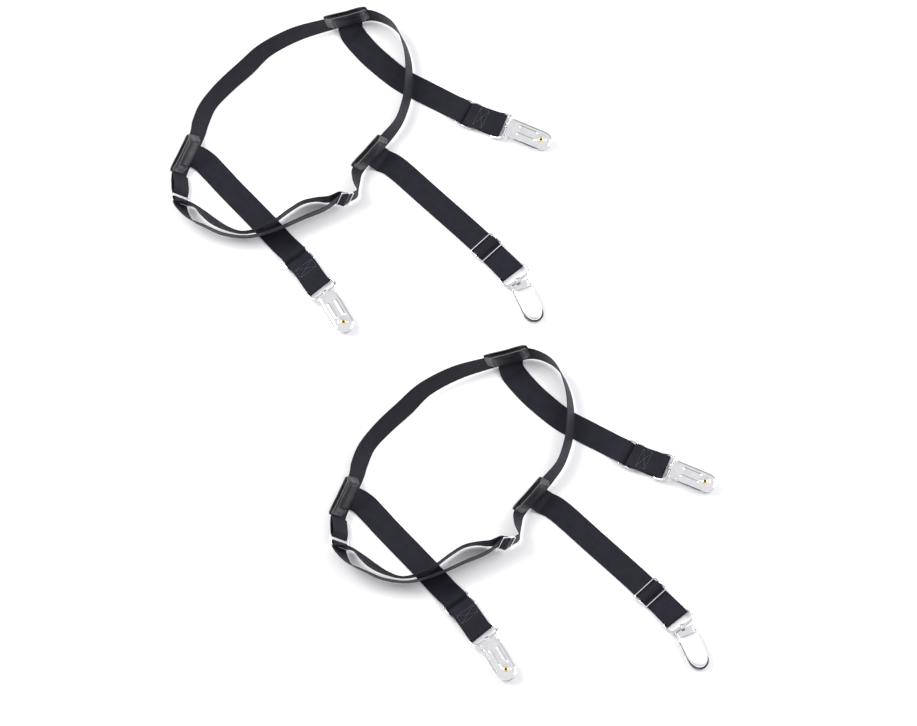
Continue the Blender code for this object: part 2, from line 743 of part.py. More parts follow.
def strap_stations(spec, stations):
    """A strap: sewn at its tab, along the table, through the slider, round the ring and back."""
    middle, lean = leaning(BAND_LOOP[spec["tab"]], BAND_WIDTH)
    i = nearest_station(stations, middle)
    tangent = (stations[i + 1][0] - stations[i - 1][0]).normalized()
    up = lean.normalized()
    normal = tangent.cross(up).normalized() * spec["side"]
    sewn = middle - lean / 2 + normal * (WEB + SEWN_GAP)
    across = tangent * spec["side"]
    heights = (STRAP_SEWN_HEIGHT, STRAP_BEND_HEIGHT * 2, STRAP_BEND_HEIGHT)
    run = [(sewn + up * height, across) for height in heights]
    slider, _, _, bar = strap_frames(spec)
    along, _, front = (slider.to_3x3().col[k] for k in range(3))
    centre = slider.translation
    square = UP.cross(along)
    route = [Vector((x * MM, y * MM, WEB / 2)) for x, y in spec["route"]]
    for here, ahead in zip(route, [*route[1:], centre]):
        run.append((here, UP.cross(ahead - here).normalized()))
    weave = slider_weave(centre, along, front, square, STRAP_SLIDER_REACH)
    # the fold round the ring
    forward = heading(spec["fold_heading"])
    turn = UP.cross(forward)
    radius = RING_WIRE + GAP + WEB / 2
    end = bar + forward * spec["slack"] * MM
    fold = arc_stations(end, turn, forward, -front, radius, 6)
    before = (bar - forward * 3 * MM + front * radius, turn)
    after = (bar - forward * 3 * MM - front * radius, turn)
    into, loop_end = slider_return(centre, along, front, square, STRAP_SLIDER_REACH)
    out = smooth_run([*run, *weave, before, fold[0]], 5 * MM)
    out += fold[1:]
    out += smooth_run([fold[-1], after, *into, loop_end[0]], 5 * MM)[1:]
    out += loop_end[1:]
    return [(Vector((p.x, p.y, max(p.z, WEB / 2))), side) for p, side in out]


def add_strap(prefix, spec, stations, meshes, garter):
    """One strap with its tab, slider and clip."""
    i = nearest_station(stations, leaning(BAND_LOOP[spec["tab"]], BAND_WIDTH)[0])
    back_offset = WEB / 2 + GAP + LEATHER / 2
    front_offset = WEB * 1.5 + 2 * SEWN_GAP + LEATHER / 2
    patches = (
        ("tab_back", -spec["side"], back_offset, BACK_PATCH_FOOT),
        ("tab_front", spec["side"], front_offset, FRONT_PATCH_FOOT),
    )
    for piece, side, offset, foot in patches:
        line = patch_stations(stations, i, side, offset, foot, PATCH_TOP)
        mesh = mesh_from(lambda bm: ribbon(bm, line, PATCH_TOP - foot, LEATHER), piece)
        new_object(prefix + piece, mesh, "leather", garter)
    line = strap_stations(spec, stations)
    mesh = mesh_from(lambda bm: ribbon(bm, line, STRAP_WIDTH, WEB), "strap")
    new_object(prefix + "strap", mesh, "strap_elastic", garter)
    slider, ring, clip, _ = strap_frames(spec)
    new_object(prefix + "slider", meshes["slider"], "chrome", garter).matrix_local = slider
    new_object(prefix + "clip_ring", meshes["ring"], "chrome", garter).matrix_local = ring
    for piece, slot in (("plate", "chrome"), ("pad", "plastic"), ("eyelet", "brass")):
        new_object(prefix + "clip_" + piece, meshes[piece], slot, garter).matrix_local = clip
    hinge = clip @ Matrix.Translation((PIVOT_U, 0, PIVOT_W))
    new_object(prefix + "clip_lever", meshes["lever"], "chrome", garter).matrix_local = hinge


def add_garter(name, place, meshes):
    """One garter: its band with ring and slider, and its three straps."""
    garter = bpy.data.objects.new(name + "_garter", None)
    bpy.context.scene.collection.objects.link(garter)
    garter.location = place
    stations = band_stations()
    band = mesh_from(lambda bm: ribbon(bm, stations, BAND_WIDTH, WEB), "band")
    new_object(name + "_band", band, "band_elastic", garter)
    slider, ring = band_frames()
    for piece, (centre, along, outward, _) in (("slider", slider), ("ring", ring)):
        frame = frame_matrix(along, outward.cross(along), outward, centre)
        new_object(f"{name}_band_{piece}", meshes["band_" + piece], "chrome", garter).matrix_local = frame
    for strap, spec in STRAPS.items():
        add_strap(f"{name}_{strap}_", spec, stations, meshes, garter)


def main():
    for obj in list(bpy.data.objects):
        bpy.data.objects.remove(obj)
    lever = lever_mesh()
    lever.transform(Matrix.Translation((-PIVOT_U, 0, -PIVOT_W)))
    meshes = {
        "slider": slider_mesh(STRAP_SLIDER_REACH, STRAP_WIDTH / 2 + SLIDER_MARGIN),
        "band_slider": slider_mesh(BAND_SLIDER_REACH, BAND_WIDTH / 2 + SLIDER_MARGIN),
        "ring": ring_mesh(),
        "band_ring": band_ring_mesh(),
        "plate": plate_mesh(),
        "pad": pad_mesh(),
        "eyelet": eyelet_mesh(),
        "lever": lever,
    }
    for name, place in GARTERS.items():
        add_garter(name, place, meshes)


main()
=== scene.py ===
"""The looks of a pair of shirt-stay thigh garters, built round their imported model.

Every piece but the clips' pads is rebuilt here with its fine surface: woven elastic with round
selvedges, stitched leather patches, bent wire, and pressed clip parts. The pads are the model's
own, with softened edges. Lengths are in metres, and Z is up.
"""

import math

import bmesh
import bpy
from mathutils import Matrix, Vector


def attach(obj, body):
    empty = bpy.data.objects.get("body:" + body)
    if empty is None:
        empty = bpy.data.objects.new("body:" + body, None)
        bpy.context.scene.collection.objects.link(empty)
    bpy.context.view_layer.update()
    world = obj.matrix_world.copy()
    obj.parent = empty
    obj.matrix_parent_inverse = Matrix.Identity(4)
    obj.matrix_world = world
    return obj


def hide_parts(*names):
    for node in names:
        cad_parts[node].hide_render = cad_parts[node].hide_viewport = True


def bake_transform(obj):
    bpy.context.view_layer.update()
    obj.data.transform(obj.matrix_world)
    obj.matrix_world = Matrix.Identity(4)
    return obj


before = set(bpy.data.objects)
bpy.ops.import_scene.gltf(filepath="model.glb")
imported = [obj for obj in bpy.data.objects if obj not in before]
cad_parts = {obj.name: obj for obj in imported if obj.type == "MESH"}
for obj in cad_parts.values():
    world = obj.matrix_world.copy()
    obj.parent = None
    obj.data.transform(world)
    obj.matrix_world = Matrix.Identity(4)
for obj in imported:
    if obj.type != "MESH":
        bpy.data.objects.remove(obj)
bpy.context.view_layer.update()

MM = 0.001
UP = Vector((0, 0, 1))
# Turns a rod from the Z axis to the Y axis.
SIDEWAYS = Matrix.Rotation(math.radians(90), 4, "X")

# Clearance between neighbouring pieces.
GAP = 0.25 * MM

# Elastic webbing.
STRAP_WIDTH = 25 * MM
BAND_WIDTH = 20 * MM
WEB = 0.9 * MM
BAND_LIFT = 1.8 * MM

# Leather patches.
LEATHER = 1.0 * MM
TAB_CORNER = 2.5 * MM
TAB_LENGTH = 43 * MM
PATCH_TOP = 21 * MM
BACK_PATCH_FOOT = 0.5 * MM
FRONT_PATCH_FOOT = 6 * MM
STRAP_SEWN_HEIGHT = 15 * MM
STRAP_BEND_HEIGHT = 4 * MM
SEWN_GAP = 0.45 * MM

# Three-bar sliders, of thin wire.
SLIDER_WIRE = 0.7 * MM
STRAP_SLIDER_REACH = 8 * MM
BAND_SLIDER_REACH = 6 * MM
SLIDER_MARGIN = 1.3 * MM
SLIDER_CORNER = 1.5 * MM
# How far outside the outer bar a web's sewn end starts to close in on the slider.
RETURN_LEAD = 3 * MM
# How far from a band slider's middle bar the band stops bending with the slider.
SLIDER_HOLD = 4 * MM
# How far up a web has climbed halfway between a slider's bars, as a share of its height over the
# middle one.
WEAVE_RISE = 0.28

# Clip ring, of thicker wire.
RING_WIRE = 1.15 * MM
RING_LENGTH = 12.2 * MM
RING_WIDTH = 30.8 * MM
RING_TOP_CORNER = 2.0 * MM
RING_FOOT_CORNER = 5.0 * MM
# How far behind the ring's bar a strap's fold begins and ends.
FOLD_LEAD = 3 * MM

# Band ring.
BAND_RING_WIRE = 0.8 * MM
BAND_RING_LENGTH = 11 * MM
BAND_RING_CORNER = 1.6 * MM
BAND_FOLD_SLACK = 4 * MM
# Where the band's sewn end stops, as a share of the way from its second station to its first.
BAND_END_SHARE = 0.15

# Clip, measured from the axis of the ring's lower bar: u runs to the tip, v across it, w from
# the back plate to the lever.
SHEET = 0.8 * MM
TONGUE_SLACK = 0.6 * MM
PLATE_MIDDLE = -(RING_WIRE + TONGUE_SLACK + SHEET / 2)
PLATE_START = 1.5 * MM
CLIP_TIP = 47.5 * MM
PLATE_HALF_WIDTH = 9.7 * MM
TONGUE_WIDTH = 4.5 * MM
TONGUE_RETURN = 2.5 * MM
PIVOT_U = 7.6 * MM
PIVOT_W = 1.2 * MM
EAR_RADIUS = 2.4 * MM
DIMPLE_RADIUS = 0.6 * MM
DIMPLE_DEPTH = 0.9 * MM
PAD_THIN = 1.2 * MM
EYELET_U = 36.5 * MM
EYELET_HOLE = 1.3 * MM
EYELET_BARREL = 1.6 * MM
EYELET_FLANGE = 2.9 * MM
EYELET_HEAD = 0.5 * MM
LEVER_REAR = 10.8 * MM
LEVER_TIP = 46.8 * MM
LEVER_HALF_WIDTH = 9.6 * MM
LEVER_RIM = 2.5 * MM
LEVER_TOP = 6.3 * MM
CLIP_REST_GAP = 0.1 * MM
KNUCKLE_INNER = 7.0 * MM

# Fineness of the surfaces.
WEB_STEP = 1.5 * MM
ARC_STEPS = 14
WIRE_SIDES = 20
CORNER_STEPS = 8

# Stitches.
STITCH_LENGTH = 2.0 * MM
STITCH_PITCH = 2.7 * MM
THREAD = 0.28 * MM

# The box of stitches that holds a strap's doubled end.
BOX_LENGTH = 9 * MM
BOX_MARGIN = 2.6 * MM
BOX_SIDE = -1
BOX_START = -6.5 * MM

# Seams of the leather tabs, and how the patches bulge over the web under them.
SEAM_END = 7.2 * MM
SEAM_TOP = 2.4 * MM
SEAM_FOOT = 1.2 * MM
SEAM_WIDTH = 0.7 * MM
SEAM_DIP = 0.6 * MM
FLARE = 1.2 * MM
FLARE_HEIGHT = 9 * MM
BACK_LEAN = 1.6 * MM

# Pressed detail of the clip's back plate.
RIB_OFFSET = 4.1 * MM
RIB_START = 13.5 * MM
RIB_END = 29.5 * MM
RIB_HALF = 1.25 * MM
RIB_HEIGHT = 0.7 * MM
DISC_RADIUS = 4.9 * MM
DISC_HEIGHT = 0.35 * MM
SHOULDER = 2.2 * MM
SHOULDER_DROP = 0.75 * MM
EAR_BACK = 3.6 * MM
EAR_FRONT = 2.6 * MM

# The lever's dome: where its sides start to taper, how far in its skin curves, and its crown.
LEVER_SHOULDER = 30 * MM
DOME_REACH = 7.5 * MM
DOME_CROWN = 0.35 * MM
KNUCKLE_RADIUS = 1.5 * MM

# Woven pattern of the webbing and the painted highlight on the leather's ends, in millimetres of the
# piece.
WEFT_PITCH = 0.62
SELVEDGE = 1.1
SELVEDGE_VALLEY = 0.35
# Where the painted highlight on the leather's ends begins and is full, and how much it lifts the tone.
HIGHLIGHT_FROM = 9.0
HIGHLIGHT_FULL = 16.0
END_HIGHLIGHT = 0.32

# The table, and the camera: how much it sees from side to side, its height in degrees above the
# table, and the point it looks at.
TABLE = -0.3 * MM
VIEW_WIDTH = 0.8895
VIEW_TILT = 66
VIEW_AIM = Vector((0.0164, -0.0189, 0))
SKY_STRENGTH = 0.9

# The two garters, by the point that each one's own coordinates start from.
GARTERS = {
    "near": Vector((0.0197, -0.1572, 0)),
    "far": Vector((-0.1373, 0.2073, 0)),
}

# The thigh band's single layer, from the ring over the left, top and right tabs to the slider:
# (x, y) of its lower edge, and how far its upper edge leans over in x and y. Millimetres.
BAND_LOOP = [
    (-111.6, -45, -14, -1), (-112, -27, -14, -2), (-103.5, -6, -14, -2), (-95, 15, -14, -2),
    (-91, 29, -15.5, -1), (-83.5, 47, -15.5, 0), (-68, 65, -14.5, 4), (-48.5, 84, -13.5, 6),
    (-30, 104, -11, 5), (-2, 120.5, -8.5, 5), (28, 131.5, -6, 3), (48, 136.8, -6, 3),
    (68.5, 142, -6, 3), (86, 136, -5, 2), (98, 123.5, -5.8, 2.5), (105.5, 105, -6.3, 1),
    (108.5, 85, -6.8, 1.5), (107.5, 60, -6.8, 0), (104, 44, -6.8, -2.5), (98, 28, -7, -3),
    (87.5, 11.5, -9.7, -2.5), (74, -5.5, -9.7, -2.5), (60.5, -22.5, -9.7, -2.5), (57.5, -33, -7.5, -3),
    (56, -42, -4, -2), (54.5, -50, 1, 0),
]
# The outer of its two front layers, from the slider to the ring.
BAND_OUTER = [
    (22, -65, 3, -3), (4, -73, 0, -5), (-23, -85.5, 0, -5.5), (-50, -93.5, 0, -6),
    (-75, -91, 1, -6), (-94, -82, 0, -6), (-105, -75.5, -5, -5), (-109.8, -67, -11, -2),
]
# The inner front layer, back from the ring to the slider.
BAND_INNER = [
    (-103.5, -61, -6, -2), (-97.5, -69, 2, -3), (-88, -78, 5, -3.5), (-74, -85, 3, -5),
    (-57, -89, 0, -6), (-40, -86, 0, -5), (-25.5, -77.5, 0, -5), (-12, -66.5, 0, -5),
    (1.5, -57.5, 0, -5), (14, -54.5, 1, -4.5), (24, -55.5, 3, -2),
]
BAND_SLIDER_PLACE = (40.5, -58)
BAND_SLIDER_LEAN = (5, 2)
BAND_SLIDER_HEADING = 191.0
BAND_SLIDER_LIFT = 2.3
BAND_RING_PLACE = (-111, -54.2)
BAND_RING_LEAN = (-13.5, -1)
BAND_RING_HEADING = -84.0
BAND_RING_LIFT = 0.8

# Straps. "tab" is the place on BAND_LOOP of the tab's middle, and "side" is +1 where the strap
# leaves the band on its right, seen along BAND_LOOP. "route" is the middle line on the table,
# up to the slider; headings are in degrees from +X. "front_up" is 1 where the strap's outer
# face, which carries the clip's lever, is uppermost. "slack" is how far the fold reaches past
# the middle of the ring's bar, and "fold_heading" is the way that the fold faces.
STRAPS = {
    "left": {
        "tab": 2, "side": 1,
        "route": [(-96, -10), (-84.5, -22.5), (-70, -39.5), (-40, -73), (-18, -98.5)],
        "slider": (-2.5, -117.5), "slider_heading": -52.5,
        "ring": (17.4, -145), "ring_heading": -53.0, "clip_heading": -61.0,
        "front_up": -1, "fold_heading": -49.0, "slack": 1.2,
    },
    "top": {
        "tab": 11, "side": 1,
        "route": [(49.5, 128), (58.5, 115.5), (73, 99.5), (97, 78.5), (121, 64.5), (144, 51.5)],
        "slider": (164, 39.5), "slider_heading": -26.0,
        "ring": (190.5, 29), "ring_heading": -22.0, "clip_heading": -24.5,
        "front_up": -1, "fold_heading": -22.0, "slack": 5.0,
    },
    "right": {
        "tab": 21, "side": -1,
        "route": [(80.5, -10), (94, -18.5), (127, -50.5), (161, -83.5)],
        "slider": (181, -104), "slider_heading": -45.5,
        "ring": (204.6, -129.8), "ring_heading": -54.0, "clip_heading": -66.5,
        "front_up": 1, "fold_heading": -50.0, "slack": 1.2,
    },
}


def mesh_from(build, name):
    """A mesh filled by build(bm), with its faces turned outwards."""
    bm = bmesh.new()
    build(bm)
    bmesh.ops.recalc_face_normals(bm, faces=bm.faces)
    mesh = bpy.data.meshes.new(name)
    bm.to_mesh(mesh)
    bm.free()
    return mesh


def heading(degrees):
    """The level unit vector at an angle from +X."""
    return Vector((math.cos(math.radians(degrees)), math.sin(math.radians(degrees)), 0))


def frame_matrix(u, v, w, origin):
    """The matrix that takes (u, v, w) coordinates to the garter's own."""
    turn = Matrix((u, v, w)).transposed().to_4x4()
    return Matrix.Translation(origin) @ turn


def smooth_run(stations):
    """Stations (centre, across) along a smooth curve through the given ones, WEB_STEP apart."""
    out = []
    last = len(stations) - 1
    for i in range(last):
        before = stations[max(i - 1, 0)]
        start = stations[i]
        end = stations[i + 1]
        after = stations[min(i + 2, last)]
        pieces = max(1, round((end[0] - start[0]).length / WEB_STEP))
        for k in range(pieces):
            t = k / pieces
            out.append(tuple(spline(before[j], start[j], end[j], after[j], t) for j in (0, 1)))
    out.append(stations[last])
    return out


def spline(a, b, c, d, t):
    """A Catmull-Rom curve from b to c."""
    linear = (c - a) * t
    square = (2 * a - 5 * b + 4 * c - d) * t**2
    cube = (3 * b - a - 3 * c + d) * t**3
    return (2 * b + linear + square + cube) / 2


def arc_stations(centre, across, out, back, radius, steps):
    """Half a turn about the line through centre along across, from -back over out to +back."""
    found = []
    for k in range(steps + 1):
        angle = math.pi * k / steps
        point = centre + radius * (out * math.sin(angle) - back * math.cos(angle))
        found.append((point, across))
    return found


def rounded_rectangle(x0, x1, half_y, corner0, corner1):
    """Points round a rectangle, with one corner radius at x0 and another at x1."""
    corners = (
        (x1 - corner1, half_y - corner1, corner1, 0),
        (x0 + corner0, half_y - corner0, corner0, 90),
        (x0 + corner0, corner0 - half_y, corner0, 180),
        (x1 - corner1, corner1 - half_y, corner1, 270),
    )
    points = []
    for x, y, radius, start in corners:
        for k in range(CORNER_STEPS + 1):
            points.append(Vector((x, y, 0)) + radius * heading(start + 90 * k / CORNER_STEPS))
    return points


def side_prism(bm, profile, v0, v1):
    """A block of a (u, w) profile, from v0 to v1."""
    near = [bm.verts.new((u, v0, w)) for u, w in profile]
    far = [bm.verts.new((u, v1, w)) for u, w in profile]
    bm.faces.new(near)
    bm.faces.new(reversed(far))
    for k in range(len(profile)):
        bm.faces.new((near[k - 1], far[k - 1], far[k], near[k]))


def linked(name, data):
    """A new object of a mesh, lamp or camera, in the scene."""
    obj = bpy.data.objects.new(name, data)
    bpy.context.scene.collection.objects.link(obj)
    return obj


def modified(mesh, steps):
    """A mesh after modifiers, a list of (kind, settings)."""
    holder = linked("holder", mesh)
    for kind, settings in steps:
        step = holder.modifiers.new("step", kind)
        for key, value in settings.items():
            setattr(step, key, value)
    view = bpy.context.evaluated_depsgraph_get()
    made = bpy.data.meshes.new_from_object(holder.evaluated_get(view))
    bpy.data.objects.remove(holder)
    return made


def combine(base, tools, name):
    """The mesh of base after each Boolean in tools, a list of (mesh, operation)."""
    helpers = [linked(name + "_tool", mesh) for mesh, _ in tools]
    steps = []
    for helper, (_, operation) in zip(helpers, tools):
        steps.append(("BOOLEAN", {"operation": operation, "object": helper, "solver": "EXACT"}))
    made = modified(base, steps)
    made.name = name
    for spent in helpers:
        bpy.data.objects.remove(spent)
    return made


def softened(mesh, width, angle=50):
    """A mesh with its sharp edges rounded."""
    limits = {"limit_method": "ANGLE", "angle_limit": math.radians(angle)}
    return modified(mesh, [("BEVEL", {"width": width, "segments": 2, **limits})])


def rod(name, radius, depth, place, sides):
    """A cylinder along the Z axis of its place."""
    return mesh_from(
        lambda bm: bmesh.ops.create_cone(
            bm, cap_ends=True, segments=sides, radius1=radius, radius2=radius, depth=depth, matrix=place
        ),
        name,
    )


def bridge(bm, rings, closed=True):
    """Faces from each line of vertices to the next, round to the line's start where it is closed."""
    count = len(rings[0])
    for ring, following in zip(rings, rings[1:]):
        for k in range(count if closed else count - 1):
            m = (k + 1) % count
            bm.faces.new((ring[k], ring[m], following[m], following[k]))


def slab(bm, back, front):
    """A sheet from its two skins, each a grid of vertices. The faces of its cut edge are returned."""
    columns = len(back) - 1
    rows = len(back[0]) - 1
    bridge(bm, back, False)
    bridge(bm, front, False)
    rim = []
    for k in (0, rows):
        for i in range(columns):
            rim.append(bm.faces.new((back[i][k], back[i + 1][k], front[i + 1][k], front[i][k])))
    for i in (0, columns):
        for k in range(rows):
            rim.append(bm.faces.new((back[i][k], back[i][k + 1], front[i][k + 1], front[i][k])))
    return rim


def label(bm, layer, places):
    """UVs for every corner of every face, from the (x, y) of its vertex."""
    uv = bm.loops.layers.uv.new(layer)
    for face in bm.faces:
        for loop in face.loops:
            loop[uv].uv = places[loop.vert]


def leaning(place):
    """The middle of a band station and its lean as a vector of the band's width."""
    x, y, lean_x, lean_y = (value * MM for value in place)
    lean = Vector((lean_x, lean_y, math.sqrt(BAND_WIDTH**2 - lean_x**2 - lean_y**2)))
    return Vector((x, y, BAND_LIFT)) + lean / 2, lean


def slider_weave(centre, along, front, across, reach):
    """Where a web passes a slider: behind the outer bars, and over the loop on the middle bar."""
    behind = SLIDER_WIRE + GAP + WEB / 2
    over = behind + WEB + GAP
    rising = WEAVE_RISE * over
    half = reach / 2
    offsets = [(-reach, -behind), (-half, rising), (0, over), (half, rising), (reach, -behind)]
    return [(centre + along * s + front * n, across) for s, n in offsets]


def slider_return(centre, along, front, across, reach):
    """The web's sewn end: in behind the outer bar and round the slider's middle bar."""
    radius = SLIDER_WIRE + GAP + WEB / 2
    deep = radius + WEB + GAP
    into = [
        (centre + along * (reach + RETURN_LEAD) - front * deep, across),
        (centre + along * reach - front * deep, across),
        (centre + along * reach * 0.55 - front * (deep + radius) / 2, across),
    ]
    return into, arc_stations(centre, across, -along, front, radius, ARC_STEPS)


def square_to(across, towards):
    """The unit vector nearest to towards that is square to across."""
    side = across.normalized()
    return (towards - side * towards.dot(side)).normalized()


def band_frames():
    """The centre, along, front and across vectors of the band's slider and of its ring."""
    slider_middle, slider_lean = leaning((*BAND_SLIDER_PLACE, *BAND_SLIDER_LEAN))
    slider_middle += UP * BAND_SLIDER_LIFT * MM
    slider_along = square_to(slider_lean, heading(BAND_SLIDER_HEADING))
    ring_middle, ring_lean = leaning((*BAND_RING_PLACE, *BAND_RING_LEAN))
    ring_middle += UP * BAND_RING_LIFT * MM
    ring_along = square_to(ring_lean, heading(BAND_RING_HEADING))
    slider_front = slider_along.cross(-slider_lean).normalized()
    ring_front = ring_along.cross(ring_lean).normalized()
    slider = (slider_middle, slider_along, slider_front, slider_lean)
    return slider, (ring_middle, ring_along, ring_front, ring_lean)


def band_stations():
    """The whole thigh band, from its end sewn at the left tab to its end on the slider."""
    slider, ring = band_frames()
    centre, along, outward, across = ring
    reach = BAND_RING_LENGTH / 2
    turn = BAND_RING_WIRE + GAP + WEB / 2
    upper = centre - along * reach
    lower = centre + along * reach
    loop = [leaning(place) for place in BAND_LOOP]
    first, first_lean = loop[1]
    end = (first.lerp(loop[0][0], BAND_END_SHARE) - outward * (WEB + 2 * GAP), first_lean)
    # out from the end to the ring's upper bar, and back up as the band's outer layer
    near = (upper - along * 5 * MM - outward * (turn + 1.5 * MM), across)
    stations = smooth_run([end, near, (upper - outward * turn, across)])
    stations += arc_stations(upper, across, along, outward, turn, ARC_STEPS)[1:]
    weave = slider_weave(*slider, BAND_SLIDER_REACH)
    stations += smooth_run([stations[-1], *loop[1:], *weave])[1:]
    # along the front to the ring's lower bar, and back to the slider
    outer = [leaning(place) for place in BAND_OUTER]
    loose = lower - along * BAND_FOLD_SLACK
    entry = [(lower + outward * turn, across), (loose + outward * turn, across)]
    stations += smooth_run([weave[-1], *outer, *entry])[1:]
    stations += arc_stations(loose, across, -along, -outward, turn, ARC_STEPS)[1:]
    stations.append((lower - outward * turn, across))
    inner = [leaning(place) for place in BAND_INNER]
    into, loop_end = slider_return(*slider, BAND_SLIDER_REACH)
    stations += smooth_run([stations[-1], *inner, *into, loop_end[0]])[1:]
    return stations + loop_end[1:]


def nearest_station(stations, point):
    """The index of the station whose centre is nearest to a point."""
    return min(range(len(stations)), key=lambda i: (stations[i][0] - point).length)


def walk(stations, start, distance):
    """The station that lies a distance along the strip from a given one."""
    step = 1 if distance > 0 else -1
    left = abs(distance)
    i = start
    while True:
        here = stations[i]
        ahead = stations[i + step]
        span = (ahead[0] - here[0]).length
        if span >= left:
            t = left / span
            return tuple(here[j].lerp(ahead[j], t) for j in (0, 1))
        left -= span
        i += step


def surface(stations, start, distance, reach):
    """The centre, width direction and normal of a strip, a distance along it from a station."""
    centre, across = walk(stations, start, distance)
    ahead, _ = walk(stations, start, distance + reach)
    behind, _ = walk(stations, start, distance - reach)
    over = across.normalized()
    return centre, over, (ahead - behind).cross(over).normalized()


def strap_frames(spec):
    """The frames of a strap's slider, ring and clip, in the garter's coordinates."""
    front = UP * spec["front_up"]
    behind = SLIDER_WIRE + GAP + WEB / 2
    along = heading(spec["slider_heading"])
    x, y = spec["slider"]
    centre = Vector((x * MM, y * MM, behind + WEB + GAP + WEB / 2))
    slider = frame_matrix(along, front.cross(along), front, centre)
    # the ring rises from the strap's fold to the height that its clip holds it at
    x, y = spec["ring"]
    bar = Vector((x * MM, y * MM, RING_WIRE + GAP + WEB))
    lowest = LEVER_TOP
    if spec["front_up"] > 0:
        lowest = -PLATE_MIDDLE + SHEET / 2 + GAP + EYELET_HEAD
    rise = lowest + CLIP_REST_GAP - bar.z
    reach = math.sqrt(RING_LENGTH**2 - rise**2)
    foot = bar + heading(spec["ring_heading"]) * reach + UP * rise
    along = (foot - bar).normalized()
    across = front.cross(along).normalized()
    ring = frame_matrix(along, across, along.cross(across), foot)
    along = heading(spec["clip_heading"])
    clip = frame_matrix(along, front.cross(along), front, foot)
    return slider, ring, clip, bar


def strap_stations(spec, stations):
    """A strap: sewn at its tab, along the table, through the slider, round the ring and back."""
    middle, lean = leaning(BAND_LOOP[spec["tab"]])
    i = nearest_station(stations, middle)
    tangent = (stations[i + 1][0] - stations[i - 1][0]).normalized()
    up = lean.normalized()
    normal = tangent.cross(up).normalized() * spec["side"]
    sewn = middle - lean / 2 + normal * (WEB + SEWN_GAP)
    across = tangent * spec["side"]
    heights = (STRAP_SEWN_HEIGHT, STRAP_BEND_HEIGHT * 2, STRAP_BEND_HEIGHT)
    run = [(sewn + up * height, across) for height in heights]
    slider, _, _, bar = strap_frames(spec)
    along, _, front = (slider.to_3x3().col[k] for k in range(3))
    centre = slider.translation
    square = UP.cross(along)
    route = [Vector((x * MM, y * MM, WEB / 2)) for x, y in spec["route"]]
    for here, ahead in zip(route, [*route[1:], centre]):
        run.append((here, UP.cross(ahead - here).normalized()))
    weave = slider_weave(centre, along, front, square, STRAP_SLIDER_REACH)
    # the fold round the ring
    forward = heading(spec["fold_heading"])
    turn = UP.cross(forward)
    radius = RING_WIRE + GAP + WEB / 2
    end = bar + forward * spec["slack"] * MM
    fold = arc_stations(end, turn, forward, -front, radius, ARC_STEPS)
    before = (bar - forward * FOLD_LEAD + front * radius, turn)
    after = (bar - forward * FOLD_LEAD - front * radius, turn)
    into, loop_end = slider_return(centre, along, front, square, STRAP_SLIDER_REACH)
    out = smooth_run([*run, *weave, before, fold[0]])
    out += fold[1:]
    out += smooth_run([fold[-1], after, *into, loop_end[0]])[1:]
    out += loop_end[1:]
    return [(Vector((p.x, p.y, max(p.z, WEB / 2))), side) for p, side in out]


def add(tree, kind, inputs=None, **settings):
    """A new node, with its settings, and its inputs as values or as other nodes' outputs."""
    made = tree.nodes.new("ShaderNode" + kind)
    for key, value in settings.items():
        setattr(made, key, value)
    for key, value in (inputs or {}).items():
        if isinstance(value, bpy.types.NodeSocket):
            tree.links.new(value, made.inputs[key])
        else:
            made.inputs[key].default_value = value
    return made


def maths(tree, operation, *values):
    """The result of a Math node."""
    return add(tree, "Math", dict(enumerate(values)), operation=operation).outputs[0]


def weighted(tree, value, share, rest):
    """value times share, plus the rest."""
    return maths(tree, "MULTIPLY_ADD", value, share, rest)


def times(tree, value, share):
    """value times share."""
    return maths(tree, "MULTIPLY", value, share)


def in_object(tree):
    """Places in the piece's own space."""
    return add(tree, "TexCoord").outputs["Object"]


def between(tree, factor, low, high):
    """A value from low to high as factor goes from 0 to 1."""
    inputs = {"Value": factor, "To Min": low, "To Max": high}
    return add(tree, "MapRange", inputs).outputs["Result"]


def colours(tree, factor, stops):
    """A colour that runs through stops, a list of (position, colour)."""
    ramp = add(tree, "ValToRGB", {"Fac": factor})
    elements = ramp.color_ramp.elements
    while len(elements) < len(stops):
        elements.new(0.5)
    for element, (position, colour) in zip(elements, stops):
        element.position = position
        element.color = (*colour, 1)
    return ramp.outputs["Color"]


def noise_at(tree, vector, scale, detail=3, roughness=0.5):
    """Smooth noise, from 0 to 1."""
    inputs = {"Vector": vector, "Scale": scale, "Detail": detail, "Roughness": roughness}
    return add(tree, "TexNoise", inputs).outputs["Fac"]


def new_look(name, **constants):
    """A material's node tree and its shader, with constant values on the shader's sockets."""
    made = bpy.data.materials.new(name)
    made.use_nodes = True
    shader = made.node_tree.nodes["Principled BSDF"]
    for key, value in constants.items():
        shader.inputs[key.replace("_", " ")].default_value = value
    return made, made.node_tree, shader


def finish_look(tree, shader, colour, roughness, height, depth, strength=1.0):
    """Links a material's colour, roughness and bump."""
    tree.links.new(colour, shader.inputs["Base Color"])
    tree.links.new(roughness, shader.inputs["Roughness"])
    bump = add(tree, "Bump", {"Height": height, "Distance": depth, "Strength": strength})
    tree.links.new(bump.outputs["Normal"], shader.inputs["Normal"])


